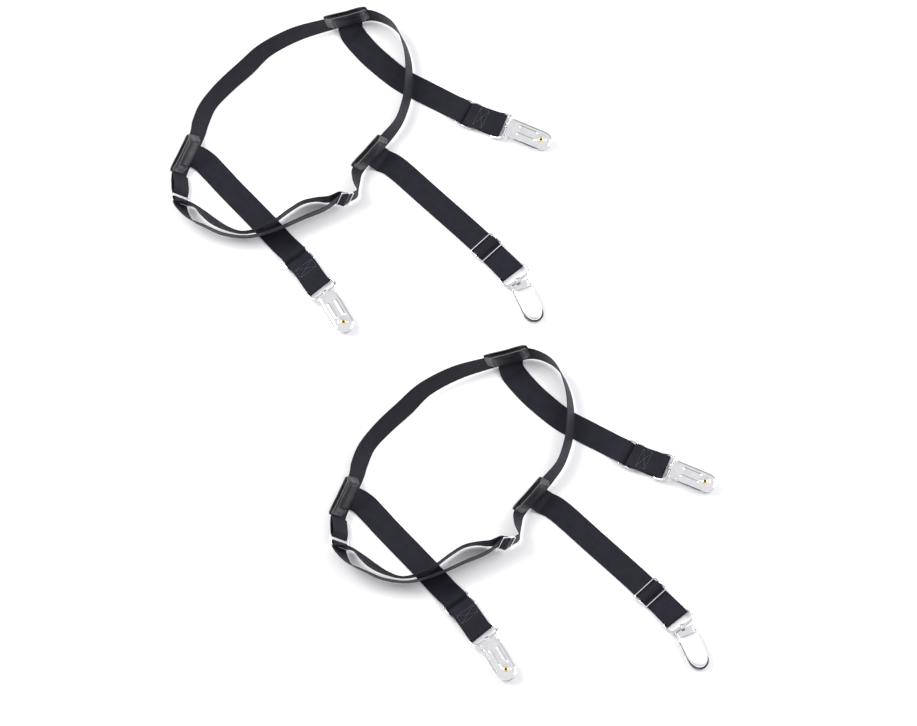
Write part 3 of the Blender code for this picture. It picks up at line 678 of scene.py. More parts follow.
def webbing_look(name, dark, light, width, cord_pitch, rough, sheen):
    """Woven elastic: covered rubber cords side by side, crossed by fine weft, with selvedges."""
    made, tree, shader = new_look(
        name, Sheen_Weight=sheen, Sheen_Roughness=0.45, Sheen_Tint=(0.62, 0.62, 0.78, 1),
        Specular_IOR_Level=0.16,
    )
    strip = add(tree, "UVMap", uv_map="strip").outputs["UV"]
    parts = add(tree, "SeparateXYZ", {0: strip})
    along = parts.outputs["X"]
    over = parts.outputs["Y"]
    wave = maths(tree, "SINE", times(tree, over, math.pi / cord_pitch))
    cord = maths(tree, "ABSOLUTE", wave)
    turned = times(tree, maths(tree, "SIGN", wave), math.pi / 2)
    weft = maths(tree, "SINE", weighted(tree, along, 2 * math.pi / WEFT_PITCH, turned))
    woven = weighted(tree, weft, 0.22, times(tree, cord, 0.6))
    # the selvedge: a smooth cord along each edge, with a valley beside it
    edge = maths(tree, "SUBTRACT", width / 2, maths(tree, "ABSOLUTE", over))
    valley = maths(tree, "ABSOLUTE", maths(tree, "SUBTRACT", edge, SELVEDGE))
    inputs = {"Value": valley, "From Max": SELVEDGE_VALLEY}
    valley = add(tree, "MapRange", inputs).outputs["Result"]
    height = times(tree, woven, valley)
    # the colour follows the weave's height, so the valleys between cords and beside the selvedge are
    # painted darker as painted shade; threads also differ a little from each other, and fibres lie
    # loose on the surface
    drawn = add(tree, "Mapping", {"Vector": strip, "Scale": (0.03, 1.1, 1)}).outputs[0]
    streak = noise_at(tree, drawn, 1.0, 4, 0.6)
    patch = noise_at(tree, strip, 0.09, 3, 0.55)
    fuzz = noise_at(tree, strip, 6.0, 2, 0.6)
    # low parts of the weave are painted darker here: painted shade
    tone = weighted(tree, streak, 0.7, times(tree, height, 0.35))
    tone = weighted(tree, maths(tree, "SUBTRACT", patch, 0.5), 0.5, tone)
    tone = weighted(tree, maths(tree, "SUBTRACT", fuzz, 0.5), 0.3, tone)
    colour = colours(tree, tone, [(0.15, dark), (0.85, light)])
    roughness = between(tree, streak, rough - 0.1, rough + 0.1)
    height = weighted(tree, fuzz, 0.25, height)
    finish_look(tree, shader, colour, roughness, height, 0.12 * MM, 0.8)
    return made


def leather_look(name, dark, light, pale, rough):
    """Finished leather: pebbled grain with creases, a soft, uneven polish, and a painted highlight that
    makes its ends paler.
    """
    made, tree, shader = new_look(name, Specular_IOR_Level=0.45, Coat_Weight=0.12, Coat_Roughness=0.3)
    place = in_object(tree)
    pebbles = add(tree, "TexVoronoi", {"Vector": place, "Scale": 1300, "Randomness": 1.0})
    pebble = pebbles.outputs["Distance"]
    fine = noise_at(tree, place, 5200, 2)
    crease = noise_at(tree, place, 420, 4, 0.6)
    wear = noise_at(tree, place, 95, 3, 0.6)
    # the ends are painted paler, up towards the pale colour: a painted highlight where they catch the
    # light
    sewn = add(tree, "UVMap", uv_map="patch").outputs["UV"]
    away = maths(tree, "ABSOLUTE", add(tree, "SeparateXYZ", {0: sewn}).outputs["X"])
    inputs = {"Value": away, "From Min": HIGHLIGHT_FROM, "From Max": HIGHLIGHT_FULL, "To Max": END_HIGHLIGHT}
    end_highlight = add(tree, "MapRange", inputs, interpolation_type="SMOOTHSTEP").outputs["Result"]
    height = weighted(tree, pebble, -0.7, times(tree, crease, 0.6))
    height = weighted(tree, fine, 0.2, height)
    tone = weighted(tree, wear, 0.7, times(tree, crease, 0.3))
    tone = maths(tree, "ADD", tone, end_highlight)
    # the top stop, pale, is reached mostly through the painted highlight on the ends
    colour = colours(tree, tone, [(0.3, dark), (0.7, light), (1.0, pale)])
    roughness = between(tree, tone, rough + 0.1, rough - 0.05)
    finish_look(tree, shader, colour, roughness, height, 0.16 * MM, 0.7)
    return made


def cut_edge_look():
    """The cut edge of the leather: pale fibres under a worn black dye."""
    made, tree, shader = new_look("leather_cut_edge", Sheen_Weight=0.2)
    place = in_object(tree)
    fibre = noise_at(tree, place, 2600, 4, 0.7)
    worn = noise_at(tree, place, 260, 3)
    tone = weighted(tree, fibre, 0.5, times(tree, worn, 0.5))
    colour = colours(tree, tone, [(0.3, (0.035, 0.034, 0.036)), (0.75, (0.16, 0.155, 0.16))])
    finish_look(tree, shader, colour, between(tree, fibre, 0.6, 0.9), fibre, 0.15 * MM)
    return made


def metal_look(name, tint, stain, low, high):
    """Polished plate: faint scratches, slight waviness and a few dull fingermarks."""
    made, tree, shader = new_look(name, Metallic=1.0)
    place = in_object(tree)
    stretched = add(tree, "Mapping", {"Vector": place, "Scale": (1, 9, 1)}).outputs[0]
    scratch = noise_at(tree, stretched, 900, 3, 0.7)
    smudge = noise_at(tree, place, 130, 3, 0.55)
    tone = weighted(tree, smudge, 0.75, times(tree, scratch, 0.25))
    colour = colours(tree, tone, [(0.3, stain), (0.6, tint)])
    waviness = weighted(tree, scratch, 0.12, noise_at(tree, place, 240, 1))
    finish_look(tree, shader, colour, between(tree, tone, high, low), waviness, 0.04 * MM, 0.5)
    return made


def plastic_look():
    """Dark moulded plastic with a fine spark-eroded texture."""
    made, tree, shader = new_look("pad_plastic", Specular_IOR_Level=0.4)
    place = in_object(tree)
    grain = noise_at(tree, place, 3600, 2, 0.6)
    scuff = noise_at(tree, place, 300, 3, 0.6)
    colour = colours(tree, scuff, [(0.3, (0.035, 0.035, 0.038)), (0.8, (0.085, 0.085, 0.09))])
    finish_look(tree, shader, colour, between(tree, scuff, 0.42, 0.62), grain, 0.05 * MM, 0.6)
    return made


def thread_look(name, dark, light):
    """Waxed sewing thread, with its twist."""
    made, tree, shader = new_look(name, Sheen_Weight=0.3, Sheen_Roughness=0.4)
    place = in_object(tree)
    waves = {"Vector": place, "Scale": 900, "Distortion": 3.0}
    twist = add(tree, "TexWave", waves).outputs["Fac"]
    colour = colours(tree, twist, [(0.2, dark), (0.9, light)])
    finish_look(tree, shader, colour, between(tree, twist, 0.5, 0.7), twist, 0.06 * MM)
    return made


def floor_look():
    """Matt white paper."""
    made, tree, shader = new_look("paper", Specular_IOR_Level=0.1)
    place = in_object(tree)
    mottle = noise_at(tree, place, 14, 3)
    colour = colours(tree, mottle, [(0.2, (0.90, 0.90, 0.915)), (0.8, (0.92, 0.92, 0.93))])
    finish_look(tree, shader, colour, between(tree, mottle, 0.85, 0.95), mottle, 0.02 * MM, 0.2)
    return made


LOOKS = {
    "band": webbing_look(
        "band_webbing", (0.005, 0.0052, 0.008), (0.023, 0.0235, 0.031),
        BAND_WIDTH / MM, 0.95, 0.55, 0.14,
    ),
    "strap": webbing_look(
        "strap_webbing", (0.0018, 0.0018, 0.0048), (0.0155, 0.015, 0.026),
        STRAP_WIDTH / MM, 1.05, 0.5, 0.05,
    ),
    "leather": leather_look(
        "tab_leather", (0.004, 0.004, 0.007), (0.015, 0.015, 0.020), (0.13, 0.13, 0.14), 0.36
    ),
    "cut_edge": cut_edge_look(),
    "satin": metal_look("satin_chrome", (0.97, 0.97, 0.975), (0.90, 0.90, 0.91), 0.30, 0.46),
    "chrome": metal_look("chrome_plate", (0.86, 0.86, 0.88), (0.74, 0.74, 0.77), 0.06, 0.16),
    "brass": metal_look("eyelet_brass", (0.93, 0.77, 0.44), (0.84, 0.64, 0.30), 0.18, 0.32),
    "plastic": plastic_look(),
    "thread": thread_look("sewing_thread", (0.006, 0.006, 0.008), (0.03, 0.03, 0.036)),
    "box_thread": thread_look("webbing_thread", (0.03, 0.03, 0.04), (0.10, 0.10, 0.12)),
    "paper": floor_look(),
}


def piece(name, mesh, look, body, replaced=(), place=None):
    """An object of a mesh that moves with a body and stands for CAD nodes."""
    obj = linked(name, mesh)
    if not mesh.materials:
        mesh.materials.append(LOOKS[look])
    mesh.shade_smooth()
    mesh.set_sharp_from_angle(angle=math.radians(40))
    if place:
        obj.matrix_world = place
    if body:
        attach(obj, body)
    if replaced:
        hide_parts(*replaced)
    return obj


def web_section(width, thickness):
    """Points (across, out) round a web's section: round selvedges and a slightly thinner face."""
    radius = thickness / 2
    reach = width / 2 - radius
    steps = (0.95, 0.9, 0.84, 0.6, 0.3, 0, -0.3, -0.6, -0.84, -0.9, -0.95)
    points = []
    for side in (1, -1):
        for k in range(7):
            angle = math.pi * (k / 6 - 0.5)
            points.append((side * (reach + radius * math.cos(angle)), side * radius * math.sin(angle)))
        for step in steps:
            face = 0.86 if abs(step) < 0.92 else 0.97
            points.append((side * reach * step, side * radius * face))
    return points


def web_mesh(name, stations, width, thickness, start):
    """A length of web through stations (centre, across), with its own length and width as UVs."""
    section = web_section(width, thickness)

    def build(bm):
        place = {}
        rings = []
        run = start
        for i, (centre, across) in enumerate(stations):
            ahead = stations[min(i + 1, len(stations) - 1)][0]
            behind = stations[max(i - 1, 0)][0]
            side = across.normalized()
            normal = (ahead - behind).cross(side).normalized()
            if i:
                run += (centre - stations[i - 1][0]).length
            ring = []
            for over, out in section:
                vert = bm.verts.new(centre + side * over + normal * out)
                place[vert] = (run / MM, over / MM)
                ring.append(vert)
            rings.append(ring)
        bridge(bm, rings)
        bm.faces.new(reversed(rings[0]))
        bm.faces.new(rings[-1])
        label(bm, "strip", place)

    return mesh_from(build, name)


def run_length(stations):
    """The length of the middle line."""
    return sum((b[0] - a[0]).length for a, b in zip(stations, stations[1:]))


def wire(bm, points, radius, sides=WIRE_SIDES):
    """A closed loop of round wire through points that lie in the XY plane."""
    rings = []
    count = len(points)
    for i, point in enumerate(points):
        along = (points[(i + 1) % count] - points[i - 1]).normalized()
        level = along.cross(UP)
        ring = []
        for k in range(sides):
            angle = 2 * math.pi * k / sides
            out = level * math.cos(angle) + UP * math.sin(angle)
            ring.append(bm.verts.new(point + radius * out))
        rings.append(ring)
    bridge(bm, [*rings, rings[0]])


def slider_mesh(reach, half_width):
    """A three-bar slider in its own plane: bars along Y, at -reach, 0 and +reach."""
    outline = rounded_rectangle(-reach, reach, half_width, SLIDER_CORNER, SLIDER_CORNER)
    frame_wire = mesh_from(lambda bm: wire(bm, outline, SLIDER_WIRE), "slider_frame")

    def weld(side):
        """The bead where the middle bar is brazed to the frame."""
        size = Matrix.Diagonal((1.35, 1.0, 1.18, 1))
        place = Matrix.Translation((0, side * (half_width - 0.1 * MM), 0)) @ size
        return lambda bm: bmesh.ops.create_uvsphere(
            bm, u_segments=20, v_segments=12, radius=SLIDER_WIRE, matrix=place
        )

    tools = [(rod("slider_bar", 0.97 * SLIDER_WIRE, 2 * half_width, SIDEWAYS, WIRE_SIDES), "UNION")]
    tools += [(mesh_from(weld(side), "slider_weld"), "UNION") for side in (-1, 1)]
    return combine(frame_wire, tools, "slider")


def ring_mesh():
    """The clip ring: its straight bar at x = -RING_LENGTH, its lower bar on the Y axis."""
    half = RING_WIDTH / 2 - RING_WIRE
    outline = rounded_rectangle(-RING_LENGTH, 0, half, RING_TOP_CORNER, RING_FOOT_CORNER)
    return mesh_from(lambda bm: wire(bm, outline, RING_WIRE, 24), "clip_ring")


def band_ring_mesh():
    """The band's rectangular ring, with its bars at x = -half and +half its length."""
    half = BAND_WIDTH / 2 + SLIDER_MARGIN + BAND_RING_WIRE
    reach = BAND_RING_LENGTH / 2
    outline = rounded_rectangle(-reach, reach, half, BAND_RING_CORNER, BAND_RING_CORNER)
    return mesh_from(lambda bm: wire(bm, outline, BAND_RING_WIRE), "band_ring")


def smoothstep(value):
    """0 below 0, 1 above 1, and smooth between."""
    value = min(max(value, 0.0), 1.0)
    return value * value * (3 - 2 * value)


def pressing(u, v, margin):
    """How far the back plate is pressed outwards at (u, v), margin in from its edge."""
    nearest = min(max(u, RIB_START), RIB_END)
    rib = math.hypot(u - nearest, abs(v) - RIB_OFFSET)
    out = RIB_HEIGHT * smoothstep(1.35 - rib / RIB_HALF)
    disc = math.hypot(u - EYELET_U, v)
    out = max(out, DISC_HEIGHT * smoothstep((DISC_RADIUS + 0.5 * MM - disc) / MM))
    rolled = smoothstep(1 - margin / SHOULDER) * smoothstep((u - PLATE_START) / (3 * MM))
    return out - SHOULDER_DROP * rolled


def plate_mesh():
    """The clip's back plate: pressed ribs and disc, rolled shoulders, ears and hooked tongue."""
    centre = CLIP_TIP - PLATE_HALF_WIDTH
    columns = []
    straight = 72
    for k in range(straight):
        columns.append((PLATE_START + (centre - PLATE_START) * k / straight, PLATE_HALF_WIDTH))
    for k in range(23):
        angle = math.radians(88) * k / 22
        half = PLATE_HALF_WIDTH * math.cos(angle)
        columns.append((centre + PLATE_HALF_WIDTH * math.sin(angle), half))
    lines = 44

    def build(bm):
        skins = []
        for skin in (-1, 1):
            grid = []
            for u, half in columns:
                row = []
                for k in range(lines + 1):
                    v = half * math.sin(math.pi * (k / lines - 0.5))
                    if u < centre:
                        margin = half - abs(v)
                    else:
                        margin = PLATE_HALF_WIDTH - math.hypot(u - centre, v)
                    out = pressing(u, v, margin)
                    row.append(bm.verts.new((u, v, PLATE_MIDDLE - out + skin * SHEET / 2)))
                grid.append(row)
            skins.append(grid)
        slab(bm, *skins)

    plate = softened(mesh_from(build, "plate"), 0.18 * MM)
    hole = rod("hole", EYELET_BARREL + GAP, 10 * MM, Matrix.Translation((EYELET_U, 0, 0)), 32)
    tools = [(hole, "DIFFERENCE")]
    for side in (-1, 1):
        profile = [(PIVOT_U - EAR_BACK, PLATE_MIDDLE), (PIVOT_U + EAR_FRONT, PLATE_MIDDLE)]
        for k in range(17):
            bend = math.pi * k / 16
            spot = (PIVOT_U + EAR_RADIUS * math.cos(bend), PIVOT_W + EAR_RADIUS * math.sin(bend))
            profile.append(spot)
        inner = side * (PLATE_HALF_WIDTH - SHEET)
        outer = side * (PLATE_HALF_WIDTH - 0.01 * MM)
        ear = softened(mesh_from(lambda bm: side_prism(bm, profile, inner, outer), "ear"), 0.15 * MM)
        # the dimple pressed inwards from the ear
        middle = inner - side * (DIMPLE_DEPTH - SHEET / 2) / 2
        place = Matrix.Translation((PIVOT_U, middle, PIVOT_W)) @ SIDEWAYS
        dimple = rod("dimple", DIMPLE_RADIUS, DIMPLE_DEPTH + SHEET / 2, place, 24)
        tools += [(ear, "UNION"), (dimple, "UNION")]
    across = Vector((0, 1, 0))
    radius = -PLATE_MIDDLE
    bend = arc_stations(Vector(), across, Vector((-1, 0, 0)), UP, radius, 20)
    start = (Vector((PLATE_START + 2 * SHEET, 0, PLATE_MIDDLE)), across)
    end = (Vector((TONGUE_RETURN, 0, radius)), across)
    tongue = web_mesh("tongue", [start, *bend, end], TONGUE_WIDTH, 0.95 * SHEET, 0)
    return combine(plate, [*tools, (tongue, "UNION")], "clip_plate")


def lever_outline(inset):
    """The lever's outline, drawn inwards by inset: straight sides and a tapering, blunt tip."""
    side = LEVER_HALF_WIDTH - inset
    rear = LEVER_REAR + inset
    reach = LEVER_TIP - inset - LEVER_SHOULDER
    straight = LEVER_SHOULDER - rear
    points = [Vector((rear, side * (1 - 2 * k / 8), 0)) for k in range(9)]
    points += [Vector((rear + straight * k / 8, -side, 0)) for k in range(1, 9)]
    for k in range(1, 40):
        angle = math.radians(180 * k / 40 - 90)
        along = math.copysign(abs(math.cos(angle)) ** 0.85, math.cos(angle))
        points.append(Vector((LEVER_SHOULDER + reach * along, side * math.sin(angle), 0)))
    return points + [Vector((rear + straight * k / 8, side, 0)) for k in range(8, 0, -1)]


def lever_levels(shell):
    """(inset, height) of the lever's skin from its rim up; shell moves it inwards."""
    top = LEVER_TOP - shell
    levels = []
    for k in range(13):
        part = k / 12
        turn = part * math.pi / 2
        inset = DOME_REACH * (1 - math.cos(turn)) ** 1.15
        crown = DOME_CROWN * (1 - part)
        height = LEVER_RIM + (top - LEVER_RIM) * math.sin(turn) ** 0.75 - crown * part
        levels.append((shell + inset, height))
    return levels


def lever_mesh():
    """The clip's lever: a domed tray, with two knuckles that turn on the ears' dimples."""

    def tray(bm):
        rings = []
        for inset, height in lever_levels(0):
            rings.append([bm.verts.new(p + height * UP) for p in lever_outline(inset)])
        for inset, height in lever_levels(SHEET):
            rings.insert(0, [bm.verts.new(p + height * UP) for p in lever_outline(inset)])
        bridge(bm, rings)
        bm.faces.new(reversed(rings[0]))
        bm.faces.new(rings[-1])

    nose = []
    for k in range(13):
        angle = math.radians(95 + 175 * k / 12)
        spot = (PIVOT_U + KNUCKLE_RADIUS * math.cos(angle), PIVOT_W + KNUCKLE_RADIUS * math.sin(angle))
        nose.append(spot)
    profile = [
        *nose,
        (PIVOT_U + 1.2 * MM, PIVOT_W - 1.2 * MM),
        (LEVER_REAR + 1.6 * MM, LEVER_RIM + 0.3 * MM),
        (LEVER_REAR + 1.6 * MM, LEVER_RIM + 1.8 * MM),
        (LEVER_REAR + 0.4 * MM, LEVER_RIM + 1.8 * MM),
    ]
    outer = PLATE_HALF_WIDTH - SHEET - GAP
    tools = []
    for side in (-1, 1):
        span = (side * KNUCKLE_INNER, side * outer)
        block = softened(mesh_from(lambda bm: side_prism(bm, profile, *span), "knuckle"), 0.2 * MM)
        place = Matrix.Translation((PIVOT_U, side * outer, PIVOT_W)) @ SIDEWAYS
        bore = rod("bore", DIMPLE_RADIUS + GAP, 8 * MM, place, 24)
        tools += [(block, "UNION"), (bore, "DIFFERENCE")]
    return combine(mesh_from(tray, "tray"), tools, "clip_lever")


def eyelet_mesh():
    """The brass eyelet: a rolled flange on the plate's raised disc, and a barrel to the pad."""
    back = PLATE_MIDDLE - SHEET / 2 - DISC_HEIGHT + 0.1 * MM
    inner_end = PLATE_MIDDLE + SHEET / 2 + GAP + PAD_THIN + GAP
    roll = (EYELET_FLANGE - EYELET_HOLE) / 2
    curl = inner_end + 0.4 * MM
    profile = [(EYELET_FLANGE - 0.3 * MM, inner_end), (EYELET_FLANGE - 0.5 * MM, curl)]
    profile += [(EYELET_HOLE, curl), (EYELET_HOLE, back)]
    for k in range(1, 12):
        angle = math.pi * k / 12
        radius = EYELET_HOLE + roll - roll * math.cos(angle)
        profile.append((radius, back - EYELET_HEAD * math.sin(angle)))
    profile += [(EYELET_FLANGE, back), (EYELET_BARREL, back), (EYELET_BARREL, inner_end)]
    centre = Vector((EYELET_U, 0, 0))

    def turned(bm):
        rings = []
        for k in range(40):
            out = heading(9 * k)
            places = [centre + radius * out + height * UP for radius, height in profile]
            rings.append([bm.verts.new(place) for place in places])
        bridge(bm, [*rings, rings[0]])

    return mesh_from(turned, "clip_eyelet")


def stitch(bm, place, along, normal):
    """One stitch: a short thread that dives into the surface at both ends."""
    side = normal.cross(along).normalized()
    turn = Matrix((along, side, normal)).transposed().to_4x4()
    size = Matrix.Diagonal((STITCH_LENGTH / 2, THREAD, THREAD * 0.8, 1))
    matrix = Matrix.Translation(place) @ turn @ size
    bmesh.ops.create_uvsphere(bm, u_segments=8, v_segments=6, radius=1, matrix=matrix)


def stitch_run(bm, points, normals):
    """Stitches at an even pitch along a line of points on a surface."""
    lengths = [(b - a).length for a, b in zip(points, points[1:])]
    count = max(1, round(sum(lengths) / STITCH_PITCH))
    pitch = sum(lengths) / count
    i = 0
    before = 0.0
    for k in range(count):
        target = pitch * (k + 0.5)
        while i < len(lengths) - 1 and before + lengths[i] < target:
            before += lengths[i]
            i += 1
        t = (target - before) / lengths[i]
        along = (points[i + 1] - points[i]).normalized()
        normal = normals[i].lerp(normals[i + 1], t)
        normal = (normal - along * normal.dot(along)).normalized()
        stitch(bm, points[i].lerp(points[i + 1], t), along, normal)


class Patch:
    """A leather patch over the band at a tab, as a surface in (s along the band, t up it)."""

    def __init__(self, stations, middle, side, ends, strap, foot, flare, lean):
        self.stations = stations
        self.middle = middle
        self.side = side
        self.ends = ends
        self.strap = strap
        self.foot = foot
        self.flare = flare
        self.lean = lean

    def seam(self, s, t):
        """The distance to the seam, which runs up near both ends and along the top."""
        half = TAB_LENGTH / 2 - SEAM_END
        top = PATCH_TOP - SEAM_TOP
        up_end = math.hypot(abs(s) - half, max(t - top, 0))
        along_top = math.hypot(t - top, max(abs(s) - half, 0))
        return min(up_end, along_top)

    def point(self, s, t, out):
        """The place of (s, t), out from the leather's middle, and the direction out."""
        centre, up, normal = surface(self.stations, self.middle, s, MM)
        normal = normal * self.side
        over = smoothstep((TAB_LENGTH / 2 - abs(s) - 1.5 * MM) / (5.5 * MM))
        offset = self.ends + (self.strap - self.ends) * over
        offset += self.flare * over * smoothstep(1 - (t - self.foot) / FLARE_HEIGHT)
        offset += self.lean * smoothstep(t / PATCH_TOP)
        offset -= SEAM_DIP * math.exp(-((self.seam(s, t) / SEAM_WIDTH) ** 2))
        return centre + up * (t - BAND_WIDTH / 2) + normal * (offset + out), normal

    def mesh(self, name):
        """The leather itself, with round corners and its cut edge as a second material."""
        half = TAB_LENGTH / 2
        columns = 64
        rows = 24

        def build(bm):
            sewn = {}
            skins = []
            for skin in (-1, 1):
                grid = []
                for i in range(columns + 1):
                    s = half * math.sin(math.pi * (i / columns - 0.5)) * 0.9995
                    short = TAB_CORNER - min(half - abs(s), TAB_CORNER)
                    trim = TAB_CORNER - math.sqrt(TAB_CORNER**2 - short**2)
                    low = self.foot + trim
                    high = PATCH_TOP - trim
                    row = []
                    for k in range(rows + 1):
                        t = low + (high - low) * (0.5 + 0.5 * math.sin(math.pi * (k / rows - 0.5)))
                        vert = bm.verts.new(self.point(s, t, skin * LEATHER / 2)[0])
                        sewn[vert] = (s / MM, t / MM)
                        row.append(vert)
                    grid.append(row)
                skins.append(grid)
            for face in slab(bm, *skins):
                face.material_index = 1
            label(bm, "patch", sewn)

        made = softened(mesh_from(build, name), 0.22 * MM, 60)
        made.materials.append(LOOKS["leather"])
        made.materials.append(LOOKS["cut_edge"])
        return made

    def stitches(self, name):
        """The seam's thread on the patch's outer face."""
        half = TAB_LENGTH / 2 - SEAM_END
        top = PATCH_TOP - SEAM_TOP
        foot = self.foot + SEAM_FOOT
        path = [(-half, foot + (top - foot) * k / 16) for k in range(16)]
        path += [(half * (2 * k / 30 - 1), top) for k in range(31)]
        path += [(half, top + (foot - top) * k / 16) for k in range(1, 17)]

        def build(bm):
            found = [self.point(s, t, LEATHER / 2 + THREAD * 0.25) for s, t in path]
            stitch_run(bm, [place for place, _ in found], [normal for _, normal in found])

        return mesh_from(build, name)


def add_tab(garter, strap, spec, place, stations):
    """A tab's two patches with their seams."""
    shift = Matrix.Translation(place)
    i = nearest_station(stations, leaning(BAND_LOOP[spec["tab"]])[0])
    ends = WEB / 2 + 0.1 * MM + LEATHER / 2
    over_strap = WEB * 1.5 + 2 * SEWN_GAP + LEATHER / 2
    kinds = (
        ("tab_back", -spec["side"], ends, BACK_PATCH_FOOT, 0, BACK_LEAN),
        ("tab_front", spec["side"], over_strap, FRONT_PATCH_FOOT, FLARE, 0),
    )
    for kind, side, offset, foot, flare, lean in kinds:
        node = f"{garter}_{strap}_{kind}"
        patch = Patch(stations, i, side, ends, offset, foot, flare, lean)
        body = garter + "_garter"
        piece(node + "_leather", patch.mesh(kind), "leather", body, [node], shift)
        piece(node + "_stitches", patch.stitches(kind + "_seam"), "thread", body, (), shift)


def fabric(name, look, stations, size, place, bodies):
    """A length of web as a sheet: it rides on one body, or, where it spans two, stays in place
    unattached.

    size is its width, and how far along the whole web it starts.
    """
    width, start = size
    world = [(place + centre, across) for centre, across in stations]
    mesh = web_mesh(name, world, width, WEB, start)
    if len(bodies) == 1:
        obj = piece(name, mesh, look, bodies[0])
    else:
        obj = piece(name, mesh, look, None)
        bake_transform(obj)
    return obj


def sewn_box(name, stations, middle, side, start, length, half, place):
    """A box of stitches with crossing diagonals, sewn on a web's face next to its slider."""

    def point(s, v):
        centre, over, normal = surface(stations, middle, s, 0.5 * MM)
        normal = normal * side
        return place + centre + over * v + normal * (WEB * 0.43 + THREAD * 0.3), normal

    far = start + length
    corners = ((start, -half), (start, half), (far, half), (far, -half))
    legs = [(corners[k], corners[k - 3]) for k in range(4)]
    legs += [(corners[0], corners[2]), (corners[1], corners[3])]

    def build(bm):
        for (s0, v0), (s1, v1) in legs:
            found = [point(s0 + (s1 - s0) * k / 24, v0 + (v1 - v0) * k / 24) for k in range(25)]
            stitch_run(bm, [spot for spot, _ in found], [normal for _, normal in found])

    obj = piece(name, mesh_from(build, name), "box_thread", None)
    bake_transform(obj)


def add_band(garter, place, stations):
    """The thigh band in six lengths, which part at its ring, its slider and under its tabs."""
    body = garter + "_garter"
    ring_body = garter + "_band_ring"
    slider_body = garter + "_band_slider"
    slider, ring = band_frames()
    reach = BAND_RING_LENGTH / 2

    def at(entry):
        return nearest_station(stations, leaning(entry)[0])

    weave_end = nearest_station(stations, slider_weave(*slider, BAND_SLIDER_REACH)[-1][0])
    cuts = [0, at(BAND_LOOP[2]), at(BAND_LOOP[21]), weave_end, at(BAND_OUTER[3]), at(BAND_INNER[5])]
    cuts.append(len(stations) - 1)
    upper = ring[0] - ring[1] * reach
    lower = ring[0] + ring[1] * reach
    near_slider = slider[0] - slider[1] * SLIDER_HOLD
    far_slider = slider[0] + slider[1] * SLIDER_HOLD
    middle = leaning(BAND_OUTER[3])[0]
    left_tab = leaning(BAND_LOOP[1])[0]
    right_tab = leaning(BAND_LOOP[21])[0]
    lengths = (
        ("end", (body, ring_body), (left_tab, upper), "folded", ["left_tab_back_leather"]),
        ("arc", (body,), None, "laid", ["left_tab_back_leather", "right_tab_back_leather"]),
        ("right", (body, slider_body), (right_tab, near_slider), "laid", ["band_slider_wire"]),
        ("front_right", (body, slider_body), (middle, far_slider), "laid", ["band_slider_wire"]),
        ("front_fold", (body, ring_body), (middle, lower), "folded", ["band_ring_wire"]),
        ("front_inner", (body, slider_body), (middle, far_slider), "laid", ["band_slider_wire"]),
    )
    for k, (name, bodies, line, held, rests) in enumerate(lengths):
        run = stations[cuts[k] : cuts[k + 1] + 1]
        start = run_length(stations[: cuts[k] + 1])
        full = f"{garter}_band_{name}"
        size = (BAND_WIDTH, start)
        fabric(full, "band", run, size, place, bodies)
    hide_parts(garter + "_band")


def add_strap(garter, strap, spec, place, stations, meshes):
    """One strap with its slider, ring and clip."""
    prefix = f"{garter}_{strap}_"
    line = strap_stations(spec, stations)
    slider, ring, clip, bar = strap_frames(spec)
    along, square, outward = (slider.to_3x3().col[k] for k in range(3))
    weave = slider_weave(slider.translation, along, outward, square, STRAP_SLIDER_REACH)
    cut = nearest_station(line, weave[-1][0])
    sewn = leaning(BAND_LOOP[spec["tab"]])[0]
    centre = slider.translation
    front = fabric(
        prefix + "web", "strap", line[: cut + 1], (STRAP_WIDTH, 0), place,
        (garter + "_garter", prefix + "slider"),
    )
    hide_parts(prefix + "strap")
    fabric(
        prefix + "web_loop", "strap", line[cut:], (STRAP_WIDTH, run_length(line[: cut + 1])), place,
        (prefix + "slider", prefix + "ring"),
    )
    # the doubled end is sewn down just past the slider's outer bar
    deep = SLIDER_WIRE + GAP + WEB / 2 + WEB + GAP
    under = centre + along * (STRAP_SLIDER_REACH + RETURN_LEAD) - outward * deep
    inner = len(line) - 1 - nearest_station(line[::-1], under)
    sewn_box(
        prefix + "box_stitch", line, inner, BOX_SIDE, BOX_START, BOX_LENGTH,
        STRAP_WIDTH / 2 - BOX_MARGIN, place,
    )
    shift = Matrix.Translation(place)
    hinge = shift @ clip @ Matrix.Translation((PIVOT_U, 0, PIVOT_W))
    parts = (
        ("slider_wire", "slider", "slider", "chrome", shift @ slider, "slider"),
        ("ring_wire", "ring", "clip_ring", "chrome", shift @ ring, "ring"),
        ("plate_pressed", "plate", "clip_plate", "chrome", shift @ clip, "clip"),
        ("pad_moulded", "pad", "clip_pad", "plastic", Matrix(), "clip"),
        ("eyelet_rolled", "eyelet", "clip_eyelet", "brass", shift @ clip, "clip"),
        ("lever_domed", "lever", "clip_lever", "satin", hinge, "lever"),
    )
    for name, mesh, node, look, matrix, body in parts:
        if mesh == "pad":
            made = softened(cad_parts[prefix + node].data.copy(), 0.25 * MM, 40)
            made.materials.clear()
        else:
            made = meshes[mesh]
        piece(prefix + name, made, look, prefix + body, [prefix + node], matrix)


def add_garter(garter, place, meshes):
    """One garter: its band with ring and slider, and its three straps and tabs."""
    stations = band_stations()
    slider, ring = band_frames()
    for name, (centre, along, outward, _) in (("slider", slider), ("ring", ring)):
        own = frame_matrix(along, outward.cross(along), outward, centre)
        matrix = Matrix.Translation(place) @ own
        node = f"{garter}_band_{name}"
        piece(node + "_wire", meshes["band_" + name], "chrome", node, [node], matrix)
    for strap, spec in STRAPS.items():
        add_tab(garter, strap, spec, place, stations)
        add_strap(garter, strap, spec, place, stations, meshes)
    add_band(garter, place, stations)


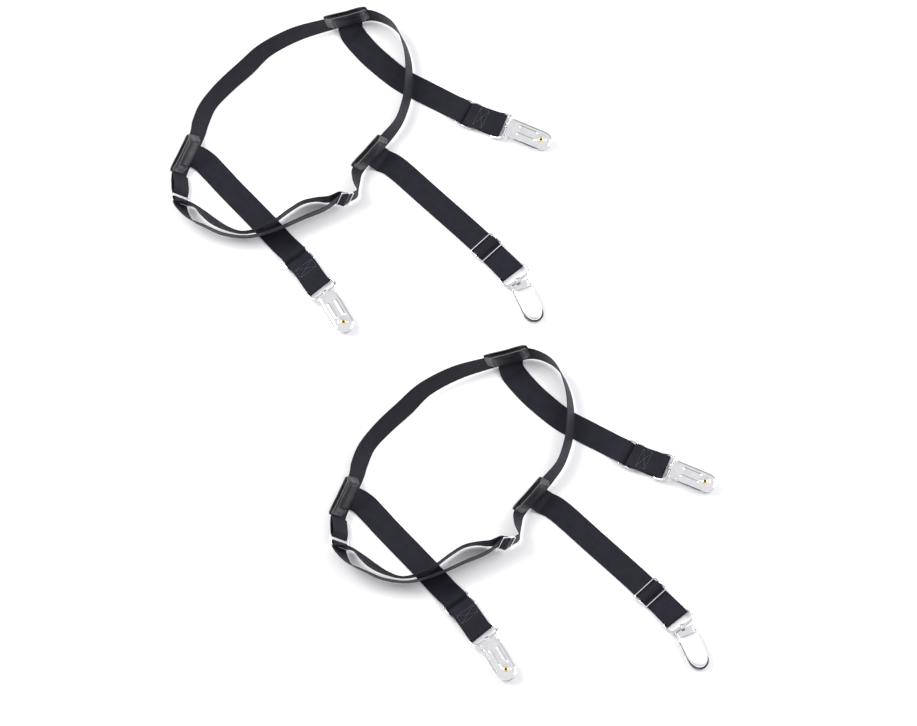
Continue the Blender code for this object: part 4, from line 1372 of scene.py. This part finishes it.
def add_stage():
    """White paper, soft light from above, and the camera."""
    bpy.ops.mesh.primitive_plane_add(size=40)
    floor = bpy.context.object
    floor.name = "paper_floor"
    floor.data.materials.append(LOOKS["paper"])
    floor.location.z = TABLE

    world = bpy.data.worlds.new("studio")
    world.use_nodes = True
    bpy.context.scene.world = world
    tree = world.node_tree
    sky = add(tree, "TexCoord").outputs["Generated"]
    height = add(tree, "SeparateXYZ", {0: sky}).outputs["Z"]
    stops = [(0.0, (0.12, 0.12, 0.14)), (0.18, (0.24, 0.24, 0.27))]
    stops += [(0.45, (0.64, 0.64, 0.67)), (0.8, (1, 1, 1))]
    shade = colours(tree, height, stops)
    backdrop = tree.nodes["Background"]
    tree.links.new(shade, backdrop.inputs["Color"])
    backdrop.inputs["Strength"].default_value = SKY_STRENGTH

    lamps = (
        ("key", (-1.75, 0.7, 1.5), 1.5, 52.0, (1.0, 0.99, 0.98)),
        ("fill", (1.75, 0.55, 1.5), 1.5, 30.0, (0.98, 0.98, 1.0)),
    )
    for name, spot, size, power, colour in lamps:
        light = bpy.data.lights.new(name, "AREA")
        light.size = size
        light.energy = power
        light.color = colour
        lamp = linked(name, light)
        lamp.location = spot
        lamp.rotation_euler = (-Vector(spot)).to_track_quat("-Z", "Y").to_euler()

    camera = bpy.data.cameras.new("camera")
    camera.lens = 400
    camera.sensor_width = 36
    eye = linked("camera", camera)
    tilt = math.radians(VIEW_TILT)
    distance = VIEW_WIDTH * camera.lens / camera.sensor_width
    back = Vector((0, -math.cos(tilt), math.sin(tilt)))
    eye.location = VIEW_AIM + back * distance
    eye.rotation_euler = (-back).to_track_quat("-Z", "Y").to_euler()
    camera.clip_start = 0.1
    camera.clip_end = 100
    bpy.context.scene.camera = eye
    bpy.context.scene.view_settings.view_transform = "Standard"


def main():
    """Builds both garters and the stage."""
    lever = lever_mesh()
    lever.transform(Matrix.Translation((-PIVOT_U, 0, -PIVOT_W)))
    meshes = {
        "slider": slider_mesh(STRAP_SLIDER_REACH, STRAP_WIDTH / 2 + SLIDER_MARGIN),
        "band_slider": slider_mesh(BAND_SLIDER_REACH, BAND_WIDTH / 2 + SLIDER_MARGIN),
        "ring": ring_mesh(),
        "band_ring": band_ring_mesh(),
        "plate": plate_mesh(),
        "eyelet": eyelet_mesh(),
        "lever": lever,
    }
    for garter, place in GARTERS.items():
        add_garter(garter, place, meshes)
    add_stage()


main()
